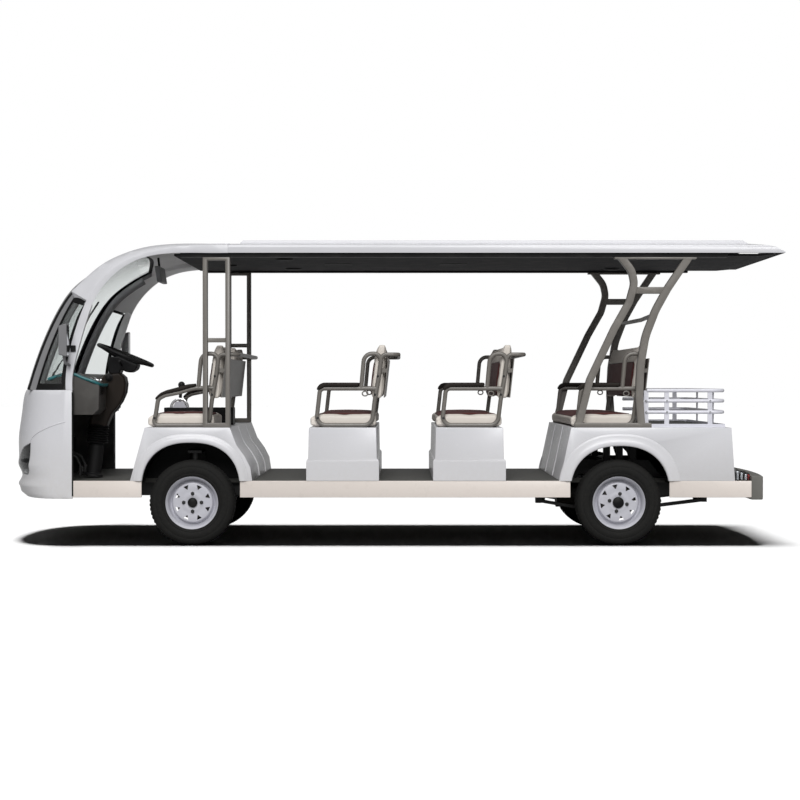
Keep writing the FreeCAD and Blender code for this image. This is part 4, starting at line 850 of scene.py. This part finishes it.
def fittings():
    """Bolts through the seat frames and ring-shaped catches beside the backrests."""
    repaint("tubes", "seat_frames")
    bolts = bmesh.new()
    arm_y = middle("armrest_pads").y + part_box("armrest_pads")[1][1] - 0.022
    bolt = [(MID, 6), (5.5, 6), (6.8, 4), (6.8, 1.5), (9, 1.5), (9, 0), (MID, 0)]
    for node in ("front_cushions",) + tuple(row + "_cushion" for row in BENCH_ROWS):
        for dx, dz in ((0.207, 0.212), (0.226, 0.332), (-0.165, 0.06)):
            for side, _ in SIDES:
                at = (middle(node).x + dx, side * (arm_y + 0.0125), SEAT_TOP + dz)
                join(bolts, lathe(bolt, at, (0, side, 0), AXIS_Z, 6))
    place(bolts, "seat_bolts", "chassis", bevel=0.0006)
    for i, row in enumerate(BENCH_ROWS):
        for side, tag in SIDES:
            x, y, z = middle(row + "_cushion").x + 0.143, side * (arm_y + 0.006), SEAT_TOP + 0.219
            ring = [(x + 0.018 * cos(pi * t / 2), y, z + 0.015 * sin(pi * t / 2)) for t in range(4)]
            bead(ring, 0.0045, f"catch_{i}_{tag}", "tubes", closed=True)


class BUS_OT_seats(bpy.types.Operator):
    """Crowned cushions and leaning backrests in two leathers, armrest pads, bolts and catches"""
    bl_idname = "bus.seats"
    bl_label = "Seats"

    def execute(self, context):
        sizes = context.scene.bus_sizes
        low, high = (Vector(c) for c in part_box("second_row_cushion"))
        back_low, back_high = (Vector(c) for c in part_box("second_row_backrest"))
        depth, width, thick = high - low
        single = Vector(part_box("front_cushions")[1]).y - AISLE
        tall = back_high.z - back_low.z
        forms = {"bench_cushion": ((depth, width, thick), crown, seat_sew),
                 "single_cushion": ((depth, single, thick), crown, seat_sew),
                 "bench_back": ((FOOT_T, width, tall), reclined, back_sew),
                 "single_back": ((FOOT_T, single, tall), reclined, back_sew)}
        made = {name: soft_form(name, *form, sizes.crown, sizes.cloth) for name, form in forms.items()}
        seat_z, back_z = (low.z + high.z) / 2, (back_low.z + back_high.z) / 2
        for row in BENCH_ROWS:
            cushion, backrest = row + "_cushion", row + "_backrest"
            place_soft(made["bench_cushion"], row + "_seat_pad", (middle(cushion).x, 0, seat_z), cushion)
            place_soft(made["bench_back"], row + "_back_pad", (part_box(backrest)[0][0], 0, back_z), backrest)
        side_y = AISLE + single / 2
        seat_x, back_x = middle("front_cushions").x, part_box("front_backrests")[0][0]
        for driver, tag in ((False, "kerb"), (True, "driver")):
            place_soft(made["single_cushion"], tag + "_seat_pad", (seat_x, side_y, seat_z),
                       None if driver else "front_cushions", mirrored=driver)
            place_soft(made["single_back"], tag + "_back_pad", (back_x, side_y, back_z),
                       None if driver else "front_backrests", mirrored=driver)
        for form in made.values():
            bpy.data.objects.remove(form)
        armrests()
        fittings()
        return {"FINISHED"}


# ---- cab
def dashboard():
    """Dashboard skin with its bead, gauges and air vents."""
    place(copy_of("dashboard"), "dashboard_skin", "dash", replaces="dashboard", bevel=0.01, segments=3)
    end_y = 0.002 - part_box("dashboard")[1][1]
    bead([(FX - 0.93, end_y, 1.0745), (FX - 0.782, end_y, 1.11), (FX - 0.7, end_y, 1.081),
          (FX - 0.615, end_y, 1.05), (FX - 0.6, end_y + 0.02, 1.04), (FX - 0.598, -0.3, 1.04),
          (FX - 0.598, 0.06, 1.04)], 0.01, "dash_bead", "trim")
    for i, (y, r) in enumerate(((-0.075, 42), (0.0, 22), (0.075, 42))):
        dial = [(MID, 2), (r * 0.9, 2), (r * 0.93, 6), (r, 6), (r, -6), (MID, -6)]
        place(lathe(dial, (FX - 0.668, DRIVER_Y + y, 1.067), (0.38, 0, 0.92), AXIS_Y, 40), f"gauge_{i}",
              "chrome")
    for i, y in enumerate((-0.62, -0.14, 0.22, 0.6)):
        x = FX - (0.598 if y < 0.1 else 0.728)
        bm = bmesh.new()
        for louvre in range(5):
            z = 0.975 + louvre * 0.012
            block((x - 0.004, y - 0.055, z), (x + 0.004, y + 0.055, z + 0.005), bm)
        place(bm, f"air_vent_{i}", "black", bevel=0.0015)


def column():
    """Steering shroud with its seam, switch cowl, bellows, lower tube, key knob, stalks and horn pad."""
    repaint("black", "steering_wheel")
    y = DRIVER_Y
    shroud = [(-0.615, 1.111), (-0.517, 1.12), (-0.481, 1.088), (-0.472, 1.046), (-0.479, 0.986),
              (-0.505, 0.926), (-0.535, 0.884), (-0.565, 0.849), (-0.592, 0.795), (-0.604, 0.759),
              (-0.72, 0.759), (-0.712, 0.819), (-0.69, 0.866), (-0.66, 0.926), (-0.648, 0.986),
              (-0.642, 1.046), (-0.634, 1.088)]
    shroud = [(FX + x, z) for x, z in shroud]
    bm = slab(shroud, y, 0.066)
    for vert in bm.verts:
        slim = 0.82 + 0.18 * min(1.0, max(0.0, (vert.co.z - 0.76) / 0.2))
        vert.co.y = y + (vert.co.y - y) * slim
    place(bm, "column_shroud", "shroud", replaces="steering_column", bevel=0.018, segments=4, limit=45)
    bead([(x + 0.001, y, z) for x, z in shroud[3:8]], 0.0025, "shroud_seam", "seal")
    pod = [(-0.583, 1.222), (-0.517, 1.225), (-0.439, 1.189), (-0.392, 1.171), (-0.403, 1.139),
           (-0.439, 1.118), (-0.472, 1.123), (-0.505, 1.139), (-0.517, 1.108), (-0.583, 1.108),
           (-0.597, 1.165)]
    place(slab([(FX + x, z) for x, z in pod], y, 0.062), "switch_cowl", "black", bevel=0.01, segments=3,
          limit=25)
    foot, knee = Vector((FX - 0.702, y, FLOOR_TOP + 0.006)), Vector((FX - 0.676, y, 0.648))
    run = Vector((FX - 0.664, y, 0.775)) - knee
    long, folds = 1000 * run.length, 8
    outline = [(MID, -4), (50, -4)]
    for i in range(folds):
        start = long * i / folds
        outline += [(58, start + 1), (72, start + 6), (73, start + 9), (60, start + 14.5)]
    outline += [(52, long + 2), (MID, long + 4)]
    place(lathe(outline, knee, run, AXIS_Y), "column_bellows", "seal", smooth=80)
    run = foot - knee
    long = 1000 * run.length
    outline = [(MID, -10), (49, -10), (49, long - 30), (62, long - 20), (64, long - 8), (MID, long - 6)]
    place(lathe(outline, knee, run, AXIS_Y, 40), "column_lower_tube", "seal", bevel=0.002)
    knob = [(MID, 40), (12, 39), (14, 34), (14, 18), (25, 16), (28, 0), (MID, 0)]
    place(lathe(knob, (FX - 0.583, y - 0.06, 1.086), (0.1, -1, 0), AXIS_Z, 32), "key_knob", "black")
    for side, tag in SIDES:
        start = Vector((FX - 0.5, y + side * 0.05, 1.165))
        bead([start, start + Vector((0.005, side * 0.07, 0.015)), start + Vector((0.01, side * 0.15, 0.03))],
             0.0065, "stalk_" + tag, "black")
    tilt = radians(21.5)
    axis = Vector((sin(tilt), 0, cos(tilt)))
    boss = [(MID, 6), (30, 5), (48, 0), (56, -8), (58, -14), (MID, -14)]
    at = Vector((FX - 0.484, y, 1.235)) - axis * 0.012
    place(lathe(boss, at, axis, AXIS_Y), "horn_pad", "black", body="steering_wheel")


def console():
    """Tray between the front seats with the handbrake's quadrant, cheek, lever and knob."""
    tray_low = (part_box("handbrake_console")[0][0], -0.075, SEAT_TOP + 0.0005)
    tray = block(tray_low, (FX + 0.196, 0.075, SEAT_TOP + 0.123))
    recess(tray, 2, 0.012, 0.016)
    place(tray, "console_tray", "black", replaces="handbrake_console", bevel=0.007, segments=3)
    x, y, z = FX - 0.181, 0.014, SEAT_TOP + 0.13
    plate = [(48, -4), (60, -6), (66, -4), (66, 4), (60, 6), (48, 4), (48, -4)]
    arc = lathe(plate, (x, 0, z - 0.012), AXIS_Y, AXIS_Z, 64)
    ops.bisect_plane(arc, geom=whole(arc), plane_co=(x, 0, z - 0.014), plane_no=(0, 0, -1),
                     clear_outer=True)
    ops.holes_fill(arc, edges=[edge for edge in arc.edges if edge.is_boundary], sides=0)
    place(arc, "brake_quadrant", "chrome", bevel=0.001)
    cheek = block((x - 0.05, -0.003, z - 0.014), (x + 0.05, 0.003, z + 0.03))
    for vert in cheek.verts:
        if vert.co.z > z:
            vert.co.x = x + (vert.co.x - x) * 0.55
    place(cheek, "brake_cheek", "enamel", bevel=0.002)
    bead([(x, y, z), (x + 0.005, y, z + 0.078), (x + 0.012, y, z + 0.14)], 0.011, "brake_lever", "black")
    knob = [(MID, 24), (12, 21.5), (21, 12), (24, 0), (21, -12), (12, -22), (10, -30), (MID, -30)]
    place(lathe(knob, (x + 0.012, y, z + 0.145), AXIS_Z, AXIS_X, 40), "brake_knob", "black")


def screen():
    """Finishes, edges and inner posts of the windscreen, door post catches and the inside mirror."""
    repaint("black", "wipers", "roof_rails")
    repaint("seal", "windscreen_seals")
    repaint("post_grey", "windscreen_pillars")
    repaint("glass", "windscreen")
    repaint("chassis", "pedals")
    post_y, top_z = 0.612, 1.8
    line = section_points("windscreen_pillars", post_y, lambda v: v.normal.x > 0.3)
    line = [p for p in line if p.z < top_z]
    for side, tag in SIDES:
        bead([(p.x - 0.044, side * post_y, p.z) for p in line], 0.013, "screen_edge_" + tag, "seal")
        bead([(p.x + 0.012, side * (post_y - 0.02), p.z) for p in line], 0.028, "inner_post_" + tag,
             "post_grey")
    catch = block((COWL_REAR - 0.01, BODY_W - 0.004, 1.25), (COWL_REAR + 0.024, BODY_W + 0.01, 1.292))
    place(add_mirrored(catch), "door_post_catches", "black", bevel=0.004)
    glass = block((FX - 0.335, -0.125, 1.74), (FX - 0.3, 0.125, 1.85))
    ops.translate(glass, vec=(0.018, 0, 0), verts=[v for v in glass.verts if v.co.z < 1.78])
    place(glass, "inside_mirror", "mirror_case", bevel=0.008, segments=3)
    bead([(FX - 0.318, 0, 1.845), (FX - 0.322, 0, 1.875), (FX - 0.326, 0, 1.915)], 0.008,
         "inside_mirror_stalk", "black")


def mirror(side, tag):
    """Outside mirror: case, pane and arm."""
    left_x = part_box("mirrors")[0][0]
    x0 = left_x + (0.11 if side > 0 else 0.0)          # the kerb side's mirror stands farther back
    z0, z1 = 1.216, 1.429
    near, far = sorted((side * (BODY_W + 0.026), side * (BODY_W + 0.119)))
    low, high = (x0 + 0.001, near, z0), (x0 + 0.057, far, z1)
    case = block(low, high)
    case_y, case_z = side * (BODY_W + 0.072), 1.322
    for vert in case.verts:
        if vert.co.x < x0 + 0.02:
            vert.co.y = case_y + (vert.co.y - case_y) * 0.7
            vert.co.z = case_z + (vert.co.z - case_z) * 0.86
    recess(case, 0, 0.007, 0.003)
    place(case, "mirror_case_" + tag, "mirror_case", bevel=0.009, segments=4,
          replaces="mirrors" if side > 0 else None)
    pane = block((high[0] - 0.004, near + 0.01, z0 + 0.01), (high[0] - 0.001, far - 0.01, z1 - 0.01))
    place(pane, "mirror_pane_" + tag, "silver", bevel=0.001)
    arm = [(left_x + 0.049, -0.004, 1.165), (left_x + 0.049, 0.034, 1.168), (x0 + 0.036, 0.06, 1.182),
           (x0 + 0.03, 0.072, 1.225)]
    bead([(x, side * (BODY_W + out), z) for x, out, z in arm], 0.01, "mirror_arm_" + tag, "mirror_case")


class BUS_OT_cab(bpy.types.Operator):
    """Dashboard with trim and gauges, steering shroud and bellows, console, mirrors, wipers and posts"""
    bl_idname = "bus.cab"
    bl_label = "Cab"

    def execute(self, context):
        dashboard()
        column()
        console()
        for side, tag in SIDES:
            mirror(side, tag)
        screen()
        return {"FINISHED"}


# ---- floor, roof lining, luggage rack, running gear
class BUS_OT_running_gear(bpy.types.Operator):
    """Finishes of the floor, lining, rack and running gear, with spring hangers and rack rivets"""
    bl_idname = "bus.running_gear"
    bl_label = "Floor, rack and running gear"

    def execute(self, context):
        repaint("mat", "floor")
        repaint("deck", "luggage_deck")
        repaint("lining", "ceiling")
        repaint("rack", "luggage_rack")
        repaint("chassis", "chassis_frame", "front_suspension", "leaf_springs")
        repaint("black", "wheel_liners", "battery_blocks")
        repaint("iron", "steering_rack_housing", "rear_axle", "knuckle_left", "knuckle_right", "tie_rods")
        hangers = bmesh.new()
        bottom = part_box("side_skirts")[0][2]
        low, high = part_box("leaf_springs")
        for x0, x1, lean in ((low[0] - 0.004, low[0] + 0.075, 0.0135),
                             (high[0] - 0.095, high[0] + 0.004, -0.0135)):
            plate = block((x0, high[1] - 0.06, bottom - 0.052), (x1, high[1] - 0.052, bottom + 0.03))
            for vert in plate.verts:
                if vert.co.z < bottom:
                    vert.co.x = (x0 + x1) / 2 + (vert.co.x - (x0 + x1) / 2) * 0.45 + lean
            join(hangers, plate)
        place(add_mirrored(hangers), "spring_hangers", "chassis", bevel=0.002)
        rivets = bmesh.new()
        for x, side in ((0.319, -1), (0.6, -1), (0.319, 1), (0.6, 1), (0.185, -1)):
            for z in (0.099, 0.172):
                at = (RX + x, side * 0.6665, SEAT_TOP + z)
                join(rivets, lathe([(MID, 5), (5, 4.5), (7, 2), (7, 0)], at, (0, side, 0), AXIS_Z, 16))
        place(rivets, "rack_rivets", "chrome")
        return {"FINISHED"}


# ---- stage
def surround(scene):
    """White to the camera and through glass, dim for the light it gives, darker towards both ends."""
    world = bpy.data.worlds.new("white_surround")
    scene.world = world
    world.use_nodes = True
    sky = Nodes(world.node_tree)
    back = sky.tree.nodes["Background"].inputs
    back["Color"].default_value = linear("#ffffff")
    rays = sky.add("LightPath").outputs
    where = sky.add("SeparateXYZ", {"Vector": sky.add("TexCoord").outputs["Generated"]}).outputs
    ends = sky.ramp(sky.math("ABSOLUTE", where["X"]), 0.35, 0.85, 1.0, 0.15)
    dim = sky.math("MULTIPLY", ends, sky.ramp(rays["Is Glossy Ray"], 0.0, 1.0, 0.02, 0.4))
    clear = sky.math("MAXIMUM", rays["Is Camera Ray"], rays["Is Transmission Ray"])
    sky.tree.links.new(sky.math("MAXIMUM", dim, clear), back["Strength"])


class BUS_OT_stage(bpy.types.Operator):
    """Pale floor, a soft light from the front and from above, white surround and the camera"""
    bl_idname = "bus.stage"
    bl_label = "Stage"

    def execute(self, context):
        scene = context.scene
        bm = bmesh.new()
        ops.create_grid(bm, x_segments=1, y_segments=1, size=60.0)
        floor = as_object(bm, "studio_floor")
        paint = Surface("matt painted studio floor", Roughness=1.0, Specular_IOR_Level=0.0)
        seen = paint.add("LightPath").outputs["Is Camera Ray"]
        floor.data.materials.append(paint.done(Base_Color=paint.mix(seen, "#a6a6a6", "#f4f4f4")))
        suns = (("floor_light", 3.6, 10, (0, 0, 0), "INCLUDE"),
                ("overhead_light", 0.9, 40, (3, -4, 0), "EXCLUDE"),
                ("front_light", 2.9, 40, (52, 0, 0), "EXCLUDE"))
        for name, strength, size, turn, floor_state in suns:
            lamp = bpy.data.lights.new(name, "SUN")
            lamp.energy, lamp.angle = strength, radians(size)
            sun = link(lamp, name)
            sun.rotation_euler = [radians(angle) for angle in turn]
            lit = bpy.data.collections.new(name + "_on_floor")
            lit.objects.link(floor)
            lit.collection_objects[0].light_linking.link_state = floor_state
            sun.light_linking.receiver_collection = lit
        surround(scene)
        eye = bpy.data.cameras.new("camera")
        eye.lens, eye.sensor_width, eye.clip_end = 70.3, 36, 500
        camera = link(eye, "camera")
        camera.location = (0.051, -10.8, 1.043)
        camera.rotation_euler = (radians(90 - 0.586), 0, 0)
        scene.camera = camera
        scene.view_settings.view_transform = "Standard"
        return {"FINISHED"}


class BUS_PT_sidebar(bpy.types.Panel):
    """Buttons and settings of the bus"""
    bl_idname = "BUS_PT_sidebar"
    bl_label = "Bus"
    bl_space_type = "VIEW_3D"
    bl_region_type = "UI"
    bl_category = "Bus"

    def draw(self, context):
        for group in (context.scene.bus_colours, context.scene.bus_sizes):
            for key in group.bl_rna.properties.keys():
                if key not in ("rna_type", "name"):
                    self.layout.prop(group, key)
        for operator in OPERATORS:
            self.layout.operator(operator.bl_idname)


OPERATORS = (BUS_OT_stage, BUS_OT_body, BUS_OT_trims, BUS_OT_lamps, BUS_OT_wheels, BUS_OT_seats, BUS_OT_cab,
             BUS_OT_running_gear)
CLASSES = (BusColours, BusSizes) + OPERATORS + (BUS_PT_sidebar,)


def register():
    for item in CLASSES:
        bpy.utils.register_class(item)
    bpy.types.Scene.bus_colours = PointerProperty(type=BusColours)
    bpy.types.Scene.bus_sizes = PointerProperty(type=BusSizes)


def unregister():
    del bpy.types.Scene.bus_colours
    del bpy.types.Scene.bus_sizes
    for item in reversed(CLASSES):
        bpy.utils.unregister_class(item)


def main():
    register()
    build_materials(bpy.context.scene.bus_colours)
    bpy.ops.bus.stage()
    bpy.ops.bus.body()
    bpy.ops.bus.trims()
    bpy.ops.bus.lamps()
    bpy.ops.bus.wheels()
    bpy.ops.bus.seats()
    bpy.ops.bus.cab()
    bpy.ops.bus.running_gear()


if __name__ == "__main__":
    main()
